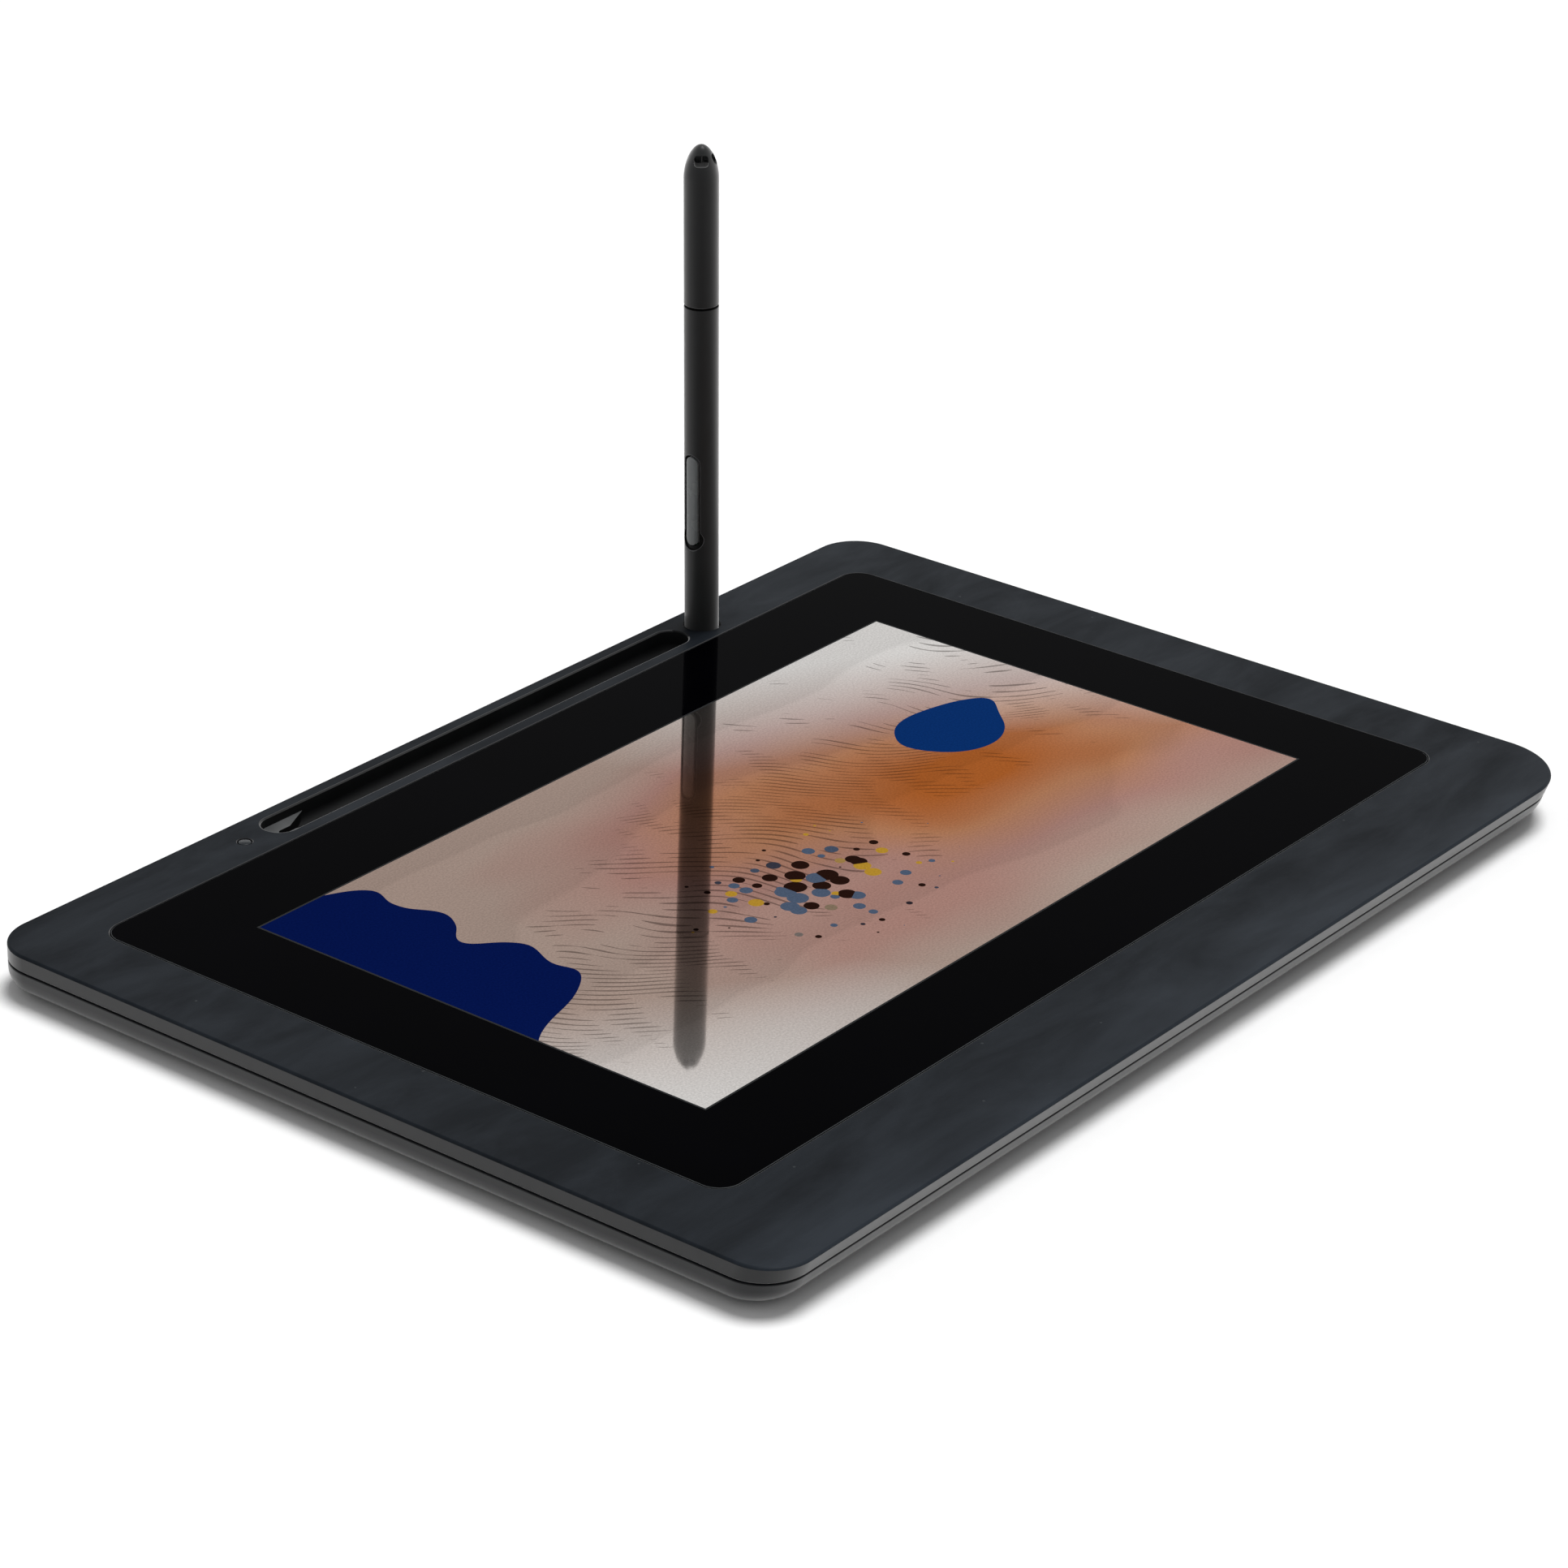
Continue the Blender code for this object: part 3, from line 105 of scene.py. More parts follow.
class ScreenSizes(bpy.types.PropertyGroup):
    """Sizes and colours of the glass and the picture on it."""
    corner: length("Glass corner radius", "Corners of the cover glass", 0.0055)
    recess: length("Gap round the glass", "Distance from the glass to the housing", 0.0003)
    bevel: length("Glass edge bevel", "Ground edge of the glass", 0.00015)
    picture_width: length("Picture width", "Lit area from side to side", 0.2227)
    picture_depth: length("Picture depth", "Lit area from front to back", 0.1253)
    shift: length("Picture shift", "Middle of the picture to the right of the glass's middle", 0.0006)
    line: length("Outline", "Width of the pale line round the picture", 0.0005)
    print_colour: colour("Border", "Black print behind the glass", "010102")
    line_colour: colour("Picture outline", "Thin line round the picture", "2b2c2d")
    chalk: colour("Chalk", "Lightest colour of the picture", "f4f1ee")
    sand: colour("Sand", "Pale grey of the picture", "bba498")
    rose: colour("Rose", "Pink tone of the picture", "b98d82")
    clay: colour("Clay", "Warm middle colour of the picture", "c28763")
    rust: colour("Rust", "Deep warm colour of the picture", "b8662e")
    lake: colour("Lake", "Deep blue of the picture", "0a1b58")
    pond: colour("Pond", "Lighter blue of the picture", "0b3576")
    slate: colour("Slate", "Blue grey of the pebbles", "55647c")
    gold: colour("Gold", "Yellow of the pebbles", "c79a34")
    reed: colour("Reeds", "Dark strokes of the picture", "2b1813")


class PenSizes(bpy.types.PropertyGroup):
    """Sizes and colours of the pen."""
    reach: length("Length", "Nib to the end of the cap", 0.1333)
    radius: length("Radius", "Radius of the barrel and the cap", 0.00428)
    lean: FloatProperty(name="Lean", description="The pen has play in its hole and leans to the left",
                        default=math.radians(1.25), subtype="ANGLE")
    joint: length("Joint", "Nib to the joint between barrel and cap", 0.0926435)
    gap: length("Joint gap", "Width of the ring between barrel and cap", 0.0005)
    barrel_colour: colour("Barrel", "Colour of the barrel and the cap", "070a0c")
    key_colour: colour("Side switch", "Colour of the side switch", "585d5e")


class StageSizes(bpy.types.PropertyGroup):
    """Camera, lamps and floor."""
    lens: FloatProperty(name="Lens", description="Focal length of the camera", default=110.0195, min=1.0,
                        subtype="DISTANCE_CAMERA")
    camera_place: FloatVectorProperty(name="Camera place", description="Where the camera stands",
                                      default=(-0.77938, -0.59074, 0.48918), size=3, subtype="TRANSLATION",
                                      unit="LENGTH")
    camera_turn: FloatVectorProperty(name="Camera turn", description="How the camera is turned",
                                     default=tuple(math.radians(a) for a in (64.71744, -1.17915, -51.79420)),
                                     size=3, subtype="EULER")
    overhead: FloatProperty(name="Overhead light", description="Strength of the wide light from above",
                            default=2.4, min=0.0)
    overhead_from: FloatVectorProperty(name="Overhead direction", description="Where that light comes from",
                                       default=(0.23, -0.05, 1.0), size=3, subtype="DIRECTION")
    overhead_spread: FloatProperty(name="Overhead spread", description="Width of that light in the sky",
                                   default=math.radians(25.0), subtype="ANGLE")
    fill: FloatProperty(name="Fill", description="Strength of the light from all round",
                        default=0.35, min=0.0)
    upper: FloatProperty(name="Upper room", description="Brightness over the backdrop, as mirrors show it",
                         default=0.5, min=0.0, max=1.0)
    floor_side: length("Floor", "Side of the square floor", 14.0)
    floor_colour: colour("Floor colour", "Colour of the floor", "ffffff")


class PenDisplaySettings(bpy.types.PropertyGroup):
    """Everything about the pen display that a user may change."""
    housing: PointerProperty(type=HousingSizes)
    screen: PointerProperty(type=ScreenSizes)
    pen: PointerProperty(type=PenSizes)
    stage: PointerProperty(type=StageSizes)
    corner_steps: IntProperty(name="Corner facets", description="Facets in a quarter turn of a corner",
                              default=24, min=4, max=64)


# ---------------------------------------------------------------- shapes

def settings():
    """The pen display's settings in the open scene."""
    return bpy.context.scene.pen_display


def quarter(cx, cy, radius, start, steps):
    """Points of a quarter turn, anticlockwise from the start angle."""
    angles = [start + math.pi / 2 * step / steps for step in range(steps + 1)]
    return [(cx + radius * math.cos(a), cy + radius * math.sin(a)) for a in angles]


def outline(x0, x1, y0, y1, front_right, back_right, back_left, front_left, steps=None):
    """A rectangle with round corners, each with a radius of its own."""
    steps = steps or settings().corner_steps
    points = quarter(x1 - front_right, y0 + front_right, front_right, -math.pi / 2, steps)
    points += quarter(x1 - back_right, y1 - back_right, back_right, 0.0, steps)
    points += quarter(x0 + back_left, y1 - back_left, back_left, math.pi / 2, steps)
    points += quarter(x0 + front_left, y0 + front_left, front_left, math.pi, steps)
    return points


def arc(steps):
    """How far a rounded edge lies inside its two faces, step by step round a quarter turn."""
    angles = [math.pi / 2 * step / steps for step in range(steps + 1)]
    return [(1 - math.sin(angle), 1 - math.cos(angle)) for angle in angles]


def housing_ring(z, inset):
    """The housing's outline at one height, drawn in from the walls by an inset."""
    sizes = settings().housing
    front = -sizes.depth / 2 + inset + sizes.rake * max(sizes.top - sizes.rim - z, 0.0)
    half_w = sizes.width / 2 - inset
    corners = (sizes.front_right, sizes.back_corner, sizes.back_corner, sizes.front_left)
    ring = outline(-half_w, half_w, front, sizes.depth / 2 - inset, *[radius - inset for radius in corners])
    return [(x, y, z) for x, y in ring]


def wall_distance(x, y, z):
    """How far a place lies inside the housing's outer walls."""
    sizes = settings().housing
    aside = sizes.width / 2 - abs(x)
    if y > 0.0:
        ahead, radius = sizes.depth / 2 - y, sizes.back_corner
    else:
        ahead = y + sizes.depth / 2 - sizes.rake * max(sizes.top - sizes.rim - z, 0.0)
        radius = sizes.front_right if x > 0.0 else sizes.front_left
    if aside < radius and ahead < radius:
        return radius - math.hypot(radius - aside, radius - ahead)
    return min(aside, ahead)


def mesh_object(name, shape):
    """Turn an edited shape into an object in the scene."""
    bmesh.ops.remove_doubles(shape, verts=shape.verts, dist=WELD)
    bmesh.ops.recalc_face_normals(shape, faces=shape.faces)
    mesh = bpy.data.meshes.new(name)
    shape.to_mesh(mesh)
    shape.free()
    made = bpy.data.objects.new(name, mesh)
    bpy.context.scene.collection.objects.link(made)
    return made


def loft(name, rings):
    """A closed solid through rings of as many points each."""
    shape = bmesh.new()
    loops = [[shape.verts.new(point) for point in ring] for ring in rings]
    count = len(loops[0])
    for low, high in zip(loops, loops[1:]):
        for index in range(count):
            after = (index + 1) % count
            shape.faces.new((low[index], low[after], high[after], high[index]))
    shape.faces.new(list(reversed(loops[0])))
    shape.faces.new(loops[-1])
    return mesh_object(name, shape)


def plate(name, width, depth, radius, levels, centre=(0.0, 0.0)):
    """A loft of round-cornered rectangles over a point. Each level is a height and how far it grows."""
    rings = []
    for z, grow in levels:
        half_w, half_d, corners = width / 2 + grow, depth / 2 + grow, [radius + grow] * 4
        points = outline(-half_w, half_w, -half_d, half_d, *corners)
        rings.append([(x + centre[0], y + centre[1], z) for x, y in points])
    return loft(name, rings)


def turned(name, profile, steps=96, closed=False):
    """Spin a profile of radius and height pairs about the Z axis."""
    shape = bmesh.new()
    verts = [shape.verts.new((radius, 0.0, z)) for radius, z in profile]
    edges = [shape.edges.new(pair) for pair in zip(verts, verts[1:])]
    if closed:
        edges.append(shape.edges.new((verts[-1], verts[0])))
    bmesh.ops.spin(shape, geom=verts + edges, cent=(0.0, 0.0, 0.0), axis=(0.0, 0.0, 1.0),
                   angle=2 * math.pi, steps=steps, use_merge=True)
    return mesh_object(name, shape)


def move(piece, matrix):
    """Carry a piece's points through a matrix."""
    piece.data.transform(matrix)
    return piece


def shift(x, y, z=0.0):
    """A plain move."""
    return Matrix.Translation((x, y, z))


def rod(radius, low, high):
    """Profile of a plain cylinder."""
    return [(0.0, low), (radius, low), (radius, high), (0.0, high)]


def posts(name, centres, profile, steps=48):
    """The same turned form over each of several places, in one object."""
    shape = bmesh.new()
    for x, y in centres:
        form = turned(name, profile, steps)
        form.data.transform(shift(x, y))
        shape.from_mesh(form.data)
        bpy.data.objects.remove(form, do_unlink=True)
    return mesh_object(name, shape)


def boxes(name, places):
    """Separate boxes in one object, each given as a centre and a size."""
    shape = bmesh.new()
    for centre, size in places:
        bmesh.ops.create_cube(shape, size=1.0, matrix=shift(*centre) @ Matrix.Diagonal((*size, 1.0)))
    return mesh_object(name, shape)


def combine(target, operation, *tools):
    """Join with, cut by or keep what is common with other objects, which are used up."""
    for tool in tools:
        modifier = target.modifiers.new("combine", "BOOLEAN")
        modifier.operation = operation
        modifier.solver = "EXACT"
        modifier.object = tool
        bake(target)
        bpy.data.objects.remove(tool, do_unlink=True)
    return target


def bake(target):
    """Turn an object's modifiers into its mesh."""
    graph = bpy.context.evaluated_depsgraph_get()
    mesh = bpy.data.meshes.new_from_object(target.evaluated_get(graph))
    target.modifiers.clear()
    target.data = mesh


def dress(piece, body, materials, nodes, choose=None):
    """Finish a piece: shading, materials, the body it moves with and the nodes that it stands for."""
    piece.data.materials.clear()
    for material in materials:
        piece.data.materials.append(material)
    for face in piece.data.polygons:
        face.material_index = choose(face) if choose else 0
    piece.data.shade_smooth()
    piece.data.set_sharp_from_angle(angle=SMOOTH_ANGLE)
    weighted = piece.modifiers.new("weighted_normals", "WEIGHTED_NORMAL")
    weighted.keep_sharp = True
    weighted.weight = 100
    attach(piece, body)
    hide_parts(*nodes)


# ---------------------------------------------------------------- materials

def feed(tree, node, values):
    """Give a node its inputs: numbers, colours, sockets, or other nodes by their first output."""
    for key, value in values.items():
        socket = node.inputs[key]
        if isinstance(value, bpy.types.Node):
            value = value.outputs[0]
        if isinstance(value, bpy.types.NodeSocket):
            tree.links.new(value, socket)
        else:
            socket.default_value = (*value, 1.0) if socket.type == "RGBA" else value


def add(tree, kind, values=None, **choices):
    """Add one node: choices set its properties, and values give its inputs."""
    made = tree.nodes.new("ShaderNode" + kind)
    for key, choice in choices.items():
        setattr(made, key, choice)
    feed(tree, made, values or {})
    return made


def stops(ramp, *places):
    """Set the stops of a colour ramp, each a position and a colour or a grey value."""
    elements = ramp.color_ramp.elements
    while len(elements) < len(places):
        elements.new(1.0)
    for element, (position, shade) in zip(elements, places):
        element.position = position
        element.color = (shade, shade, shade, 1.0) if isinstance(shade, float) else (*shade, 1.0)
    return ramp


def new_material(name, shade, roughness, metallic=0.0, specular=0.5, sheen=0.0):
    """A material with its Principled shader, the object's own coordinates and a plain colour for a start."""
    material = bpy.data.materials.new(name)
    material.use_nodes = True
    tree = material.node_tree
    shader = tree.nodes["Principled BSDF"]
    feed(tree, shader, {"Base Color": shade, "Roughness": roughness, "Metallic": metallic,
                        "Specular IOR Level": specular, "Sheen Weight": sheen, "Sheen Roughness": 0.5})
    place = add(tree, "TexCoord").outputs["Object"]
    return material, tree, shader, place


def tinted(shade, factor, lift=0.0):
    """A colour times a factor, lifted a little."""
    return tuple(min(c * factor + lift, 1.0) for c in shade)


def vary(tree, shader, place, shade, amount, size, stretch):
    """Let the colour wander a little, in patches of a size in metres, and give the pattern."""
    spread = add(tree, "Mapping", {"Vector": place, "Scale": stretch})
    cloud = add(tree, "TexNoise", {"Vector": spread, "Scale": 1.0 / size, "Detail": 5.0, "Roughness": 0.6})
    ramp = stops(add(tree, "ValToRGB", {"Fac": cloud}), (0.35, tinted(shade, 1.0 - amount)),
                 (0.65, tinted(shade, 1.0 + amount)))
    feed(tree, shader, {"Base Color": ramp})
    return cloud


def vary_gloss(tree, shader, driver, low, high):
    """Let the roughness run between two values with a pattern."""
    span = add(tree, "MapRange", {"Value": driver, "From Min": 0.3, "From Max": 0.7, "To Min": low,
                                  "To Max": high})
    feed(tree, shader, {"Roughness": span})


def relief(tree, shader, height, strength, distance):
    """Give the surface a relief of a depth in metres."""
    bump = add(tree, "Bump", {"Height": height, "Strength": strength, "Distance": distance})
    feed(tree, shader, {"Normal": bump})


def textured(name, shade, roughness, spread, patch, wander, pattern, strength, depth,
             stretch=(1.0, 1.0, 1.0), **shine):
    """A material whose colour and gloss wander in patches, with a relief from a kind of texture at a size.
    Sizes are in metres. A stretch above 1 makes the patches and the relief that much narrower on its axis."""
    material, tree, shader, place = new_material(name, shade, roughness, **shine)
    cloud = vary(tree, shader, place, shade, wander, patch, stretch)
    vary_gloss(tree, shader, cloud, roughness - spread[0], roughness + spread[1])
    kind, size = pattern
    drawn = add(tree, "Mapping", {"Vector": place, "Scale": stretch})
    relief(tree, shader, add(tree, kind, {"Vector": drawn, "Scale": 1.0 / size}), strength, depth)
    return material


def moulded(name, shade, roughness, specular, grain, depth, patch=30 * MM, wander=0.12, sheen=0.0):
    """A moulded plastic: spark-eroded grain of a size in metres, and faint patches rubbed by hands."""
    return textured(name, shade, roughness, (0.06, 0.06), patch, wander, ("TexNoise", grain), 0.35, depth,
                    specular=specular, sheen=sheen)


def housing_top_material():
    """ABS, spark-eroded mould: a matt slate black with little sheen, and dull smudges left by hands."""
    shade = tuple(settings().housing.top_colour)
    material, tree, shader, place = new_material("ABS, spark-eroded top face", shade, 0.5, specular=0.045)
    # Smudges 40 mm long, wiped along the bezel: slightly greyer and glossier
    wiped = add(tree, "Mapping", {"Vector": place, "Scale": (0.6, 1.8, 1.0)})
    smudge = add(tree, "TexNoise", {"Vector": wiped, "Scale": 1.0 / (25 * MM), "Detail": 6.0,
                                    "Roughness": 0.62, "Distortion": 0.4})
    clean, dull, greasy = tinted(shade, 0.8), tinted(shade, 1.6, 0.002), tinted(shade, 2.3, 0.005)
    # The top face is greyer for 18 mm from the front edge
    front = -settings().housing.depth / 2
    front_band = add(tree, "SeparateXYZ", {0: place}).outputs[1]
    front_band = add(tree, "MapRange", {"Value": front_band, "From Min": front, "From Max": front + 18 * MM,
                                  "To Min": 0.4, "To Max": 0.0})
    smudge = add(tree, "Math", {0: smudge, 1: front_band}, operation="ADD")
    tone = stops(add(tree, "ValToRGB", {"Fac": smudge}), (0.38, clean), (0.7, dull), (0.95, greasy))
    # Dust specks 0.5 mm across, few and faint
    dust = add(tree, "TexVoronoi", {"Vector": place, "Scale": 1.0 / (9 * MM)})
    speck = add(tree, "Math", {0: dust, 1: 0.035}, operation="LESS_THAN")
    faint = add(tree, "Math", {0: speck, 1: 0.25}, operation="MULTIPLY")
    mixed = add(tree, "Mix", {0: faint, 6: tone, 7: linear("5a5c5e")}, data_type="RGBA")
    feed(tree, shader, {"Base Color": mixed.outputs[2]})
    vary_gloss(tree, shader, smudge, 0.56, 0.42)
    # The mould's grain is 0.1 mm; it is drawn 0.35 mm wide so that it shows
    grain = add(tree, "TexNoise", {"Vector": place, "Scale": 1.0 / (0.35 * MM), "Detail": 2.0})
    relief(tree, shader, grain, 0.3, 0.03 * MM)
    return material


def housing_side_material():
    """ABS, polished mould with a soft coat: nearly black when looked at square, and paler the more it is
    seen from the side, where it catches the light of the table."""
    shade = tuple(settings().housing.side_colour)
    material, tree, shader, place = new_material("ABS, satin walls", shade, 0.3, specular=0.12, sheen=0.62)
    rubbed = add(tree, "Mapping", {"Vector": place, "Scale": (1.0, 1.0, 4.0)})
    cloud = add(tree, "TexNoise", {"Vector": rubbed, "Scale": 1.0 / (14 * MM), "Detail": 5.0})
    tone = stops(add(tree, "ValToRGB", {"Fac": cloud}), (0.35, tinted(shade, 0.85)),
                 (0.68, tinted(shade, 1.2)))
    feed(tree, shader, {"Base Color": tone})
    vary_gloss(tree, shader, cloud, 0.28, 0.38)
    # Grain of 0.1 mm, drawn 0.4 mm wide so that it shows
    grain = add(tree, "TexNoise", {"Vector": place, "Scale": 1.0 / (0.4 * MM), "Detail": 1.0})
    relief(tree, shader, grain, 0.2, 0.02 * MM)
    return material


def far_from(tree, u, v, wide, reach, deep, back):
    """Distance from a spot in the picture, whose place and size the four numbers give."""
    aside = add(tree, "Math", {0: u, 1: wide, 2: reach}, operation="MULTIPLY_ADD")
    ahead = add(tree, "Math", {0: v, 1: deep, 2: back}, operation="MULTIPLY_ADD")
    both = add(tree, "CombineXYZ", {0: aside, 1: ahead})
    return add(tree, "VectorMath", {0: both}, operation="LENGTH").outputs["Value"]


def landscape(tree, u, v, place):
    """The screen's picture, made up for this part: pale dunes, dry grass, pebbles, a bay and a pond."""
    keys = ("chalk", "sand", "rose", "clay", "rust", "lake", "pond", "slate", "gold", "reed")
    tones = {key: tuple(getattr(settings().screen, key)) for key in keys}
    flat = add(tree, "CombineXYZ", {0: u, 1: v})
    swell = add(tree, "TexNoise", {"Vector": flat, "Scale": 2.2, "Detail": 2.0, "Roughness": 0.45})
    # A warm hollow on the right, pale dunes round it: distance from the hollow, bent by the swell
    away = far_from(tree, u, v, 0.95, -0.72, 1.1, -0.52)
    away = add(tree, "Math", {0: swell, 1: 0.8, 2: away}, operation="MULTIPLY_ADD")
    base = stops(add(tree, "ValToRGB", {"Fac": away}), (0.42, tones["rust"]), (0.58, tones["clay"]),
                 (0.78, tones["rose"]), (1.0, tones["sand"]))
    # Chalk dunes in the front left and the back right corners
    front = add(tree, "Math", {0: u, 1: 1.3, 2: v}, operation="MULTIPLY_ADD")
    front = add(tree, "Math", {0: front, 1: 1.05}, operation="SUBTRACT")
    front = add(tree, "Math", {0: front}, operation="ABSOLUTE")
    front = add(tree, "Math", {0: swell, 1: -0.5, 2: front}, operation="MULTIPLY_ADD")
    chalk = add(tree, "MapRange", {"Value": front, "From Min": 0.3, "From Max": 0.8})
    base = add(tree, "Mix", {0: chalk, 6: base, 7: tones["chalk"]}, data_type="RGBA").outputs[2]
    # Wind crests: soft slopes that end in a faint edge
    bent = add(tree, "Math", {0: swell, 1: 0.6, 2: v}, operation="MULTIPLY_ADD")
    rows = add(tree, "CombineXYZ", {0: u, 1: bent})
    crest = add(tree, "TexWave", {"Vector": rows, "Scale": 1.3, "Distortion": 0.8, "Detail": 1.0,
                                  "Detail Scale": 0.6}, bands_direction="Y", wave_profile="SAW").outputs[1]
    slope = stops(add(tree, "ValToRGB", {"Fac": crest}), (0.0, 0.86), (0.7, 1.0), (0.95, 1.0), (1.0, 0.88))
    base = add(tree, "Mix", {0: 0.7, 6: base, 7: slope}, data_type="RGBA",
               blend_type="MULTIPLY").outputs[2]
    # Dry grass: thin strokes that lean with the wind, thin out at both ends and stand in a loose belt
    bend = add(tree, "TexNoise", {"Vector": flat, "Scale": 2.5, "Detail": 1.0})
    stem = add(tree, "Math", {0: bend, 1: 0.25, 2: u}, operation="MULTIPLY_ADD")
    stem = add(tree, "Math", {0: v, 1: 0.45, 2: stem}, operation="MULTIPLY_ADD")
    stem = add(tree, "Math", {0: stem, 1: 520.0}, operation="MULTIPLY")
    stem = add(tree, "Math", {0: stem}, operation="SINE")
    tuft = add(tree, "Mapping", {"Vector": flat, "Rotation": (0.0, 0.0, 0.4), "Scale": (30.0, 9.0, 1.0)})
    tuft = add(tree, "TexNoise", {"Vector": tuft, "Scale": 1.0, "Detail": 1.0})
    belt = add(tree, "Math", {0: u, 1: -0.30, 2: v}, operation="MULTIPLY_ADD")
    belt = add(tree, "Math", {0: swell, 1: 0.5, 2: belt}, operation="MULTIPLY_ADD")
    belt = add(tree, "Math", {0: belt, 1: 0.62}, operation="SUBTRACT")
    belt = add(tree, "Math", {0: belt}, operation="ABSOLUTE")
    dense = add(tree, "Math", {0: belt, 1: -0.9, 2: tuft}, operation="MULTIPLY_ADD")
    thick = add(tree, "MapRange", {"Value": dense, "From Min": 0.38, "From Max": 0.62, "To Min": 1.0,
                                   "To Max": 0.55})
    stroke = add(tree, "Math", {0: stem, 1: thick}, operation="GREATER_THAN")
    stroke = add(tree, "Math", {0: stroke, 1: 0.55}, operation="MULTIPLY")
    base = add(tree, "Mix", {0: stroke, 6: base, 7: tones["reed"]}, data_type="RGBA").outputs[2]
    # Pebbles, 4 mm across, in a loose scatter in the middle
    stones = add(tree, "TexVoronoi", {"Vector": place, "Scale": 1.0 / (5 * MM), "Randomness": 0.9})
    away = far_from(tree, u, v, 7.0, -3.0, 6.0, -2.2)
    size = add(tree, "Math", {0: away, 1: -0.0022, 2: 0.0031}, operation="MULTIPLY_ADD")
    stone = add(tree, "Math", {0: stones, 1: 5 * MM}, operation="MULTIPLY")
    stone = add(tree, "Math", {0: stone, 1: size}, operation="LESS_THAN")
    pick = add(tree, "SeparateColor", {0: stones.outputs["Color"]})
    hue = stops(add(tree, "ValToRGB", {"Fac": pick}), (0.25, tones["reed"]), (0.35, tones["slate"]),
                (0.65, tones["slate"]), (0.72, tones["gold"]))
    base = add(tree, "Mix", {0: stone, 6: base, 7: hue}, data_type="RGBA").outputs[2]
    # A bay in the left edge, and a pond on the right
    shore = add(tree, "TexNoise", {"Vector": flat, "Scale": 4.0, "Detail": 1.0})
    for place_and_size, shade in (((7.0, 0.0, 2.3, -1.6), "lake"), ((12.0, -9.9, 9.0, -5.2), "pond")):
        away = far_from(tree, u, v, *place_and_size)
        away = add(tree, "Math", {0: shore, 1: 1.4, 2: away}, operation="MULTIPLY_ADD")
        water = add(tree, "Math", {0: away, 1: 1.6}, operation="LESS_THAN")
        base = add(tree, "Mix", {0: water, 6: base, 7: tones[shade]}, data_type="RGBA").outputs[2]
    # Grain of the picture, drawn 0.5 mm wide so that it shows
    specks = add(tree, "TexNoise", {"Vector": place, "Scale": 1.0 / (0.5 * MM), "Detail": 1.0})
    fine = stops(add(tree, "ValToRGB", {"Fac": specks}), (0.3, 0.80), (0.7, 1.0))
    return add(tree, "Mix", {0: 1.0, 6: base, 7: fine}, data_type="RGBA", blend_type="MULTIPLY").outputs[2]


def screen_material():
    """Toughened glass, coated, with black print behind its border: a deep black frame that mirrors little.
    Inside it the picture mirrors the room in its own colours, like a screen with a reflector behind it."""
    screen = settings().screen
    ink = tuple(screen.print_colour)
    name = "Toughened glass over a lit picture"
    material, tree, shader, place = new_material(name, ink, 0.04, specular=0.005)
    feed(tree, shader, {"Specular Tint": (0.5, 0.5, 0.5), "Emission Strength": 1.0})
    axes = add(tree, "SeparateXYZ", {0: place})
    centre = (GLASS_MIDDLE[0] + screen.shift, GLASS_MIDDLE[1])
    # Shares of the picture's width and depth, and the distance past its edge in both directions
    shares, past = [], []
    for axis, size in enumerate((screen.picture_width, screen.picture_depth)):
        share = add(tree, "MapRange", {"Value": axes.outputs[axis], "From Min": centre[axis] - size / 2,
                                       "From Max": centre[axis] + size / 2}, clamp=False)
        shares.append(share)
        off = add(tree, "Math", {0: share, 1: -0.5}, operation="ADD")
        off = add(tree, "Math", {0: off}, operation="ABSOLUTE")
        past.append(add(tree, "Math", {0: off, 1: size, 2: -size / 2}, operation="MULTIPLY_ADD"))
    edge = add(tree, "Math", {0: past[0], 1: past[1]}, operation="MAXIMUM")
    inside = add(tree, "Math", {0: edge, 1: 0.0}, operation="LESS_THAN")
    near = add(tree, "Math", {0: edge, 1: screen.line}, operation="LESS_THAN")
    # Faint wipe marks in the black border
    wipe = add(tree, "TexNoise", {"Vector": place, "Scale": 1.0 / (30 * MM), "Detail": 5.0})
    border = stops(add(tree, "ValToRGB", {"Fac": wipe}), (0.35, ink), (0.75, tinted(ink, 1.6)))
    framed = add(tree, "Mix", {0: near, 6: border, 7: screen.line_colour},
                 data_type="RGBA").outputs[2]
    picture = landscape(tree, *shares, place)
    face = add(tree, "Mix", {0: inside, 6: framed, 7: picture}, data_type="RGBA").outputs[2]
    feed(tree, shader, {"Base Color": face, "Metallic": inside})
    # Lit from the front edge: the picture's own light fades towards the back
    light = add(tree, "MapRange", {"Value": shares[1], "To Min": 0.16, "To Max": 0.02})
    light = add(tree, "Math", {0: light, 1: inside}, operation="MULTIPLY")
    glow = add(tree, "Mix", {0: light, 6: (0.0, 0.0, 0.0), 7: picture}, data_type="RGBA").outputs[2]
    feed(tree, shader, {"Emission Color": glow})
    # The glass is smooth but for faint wipe marks
    vary_gloss(tree, shader, wipe, 0.02, 0.05)
    return material


def pen_material():
    """ABS, fine spark-eroded mould with a soft coat: black in the middle, with a sheen along its sides."""
    shade = tuple(settings().pen.barrel_colour)
    return moulded("ABS, fine-grained pen body", shade, 0.35, 0.12, 0.3 * MM, 0.02 * MM, 8 * MM, 0.15, 0.7)


def key_material():
    """Polycarbonate, polished mould: the switch is greyer and glossier than the barrel."""
    shade = tuple(settings().pen.key_colour)
    return moulded("Polycarbonate, polished key", shade, 0.25, 0.4, 0.5 * MM, 0.008 * MM, 6 * MM, 0.04, 0.6)


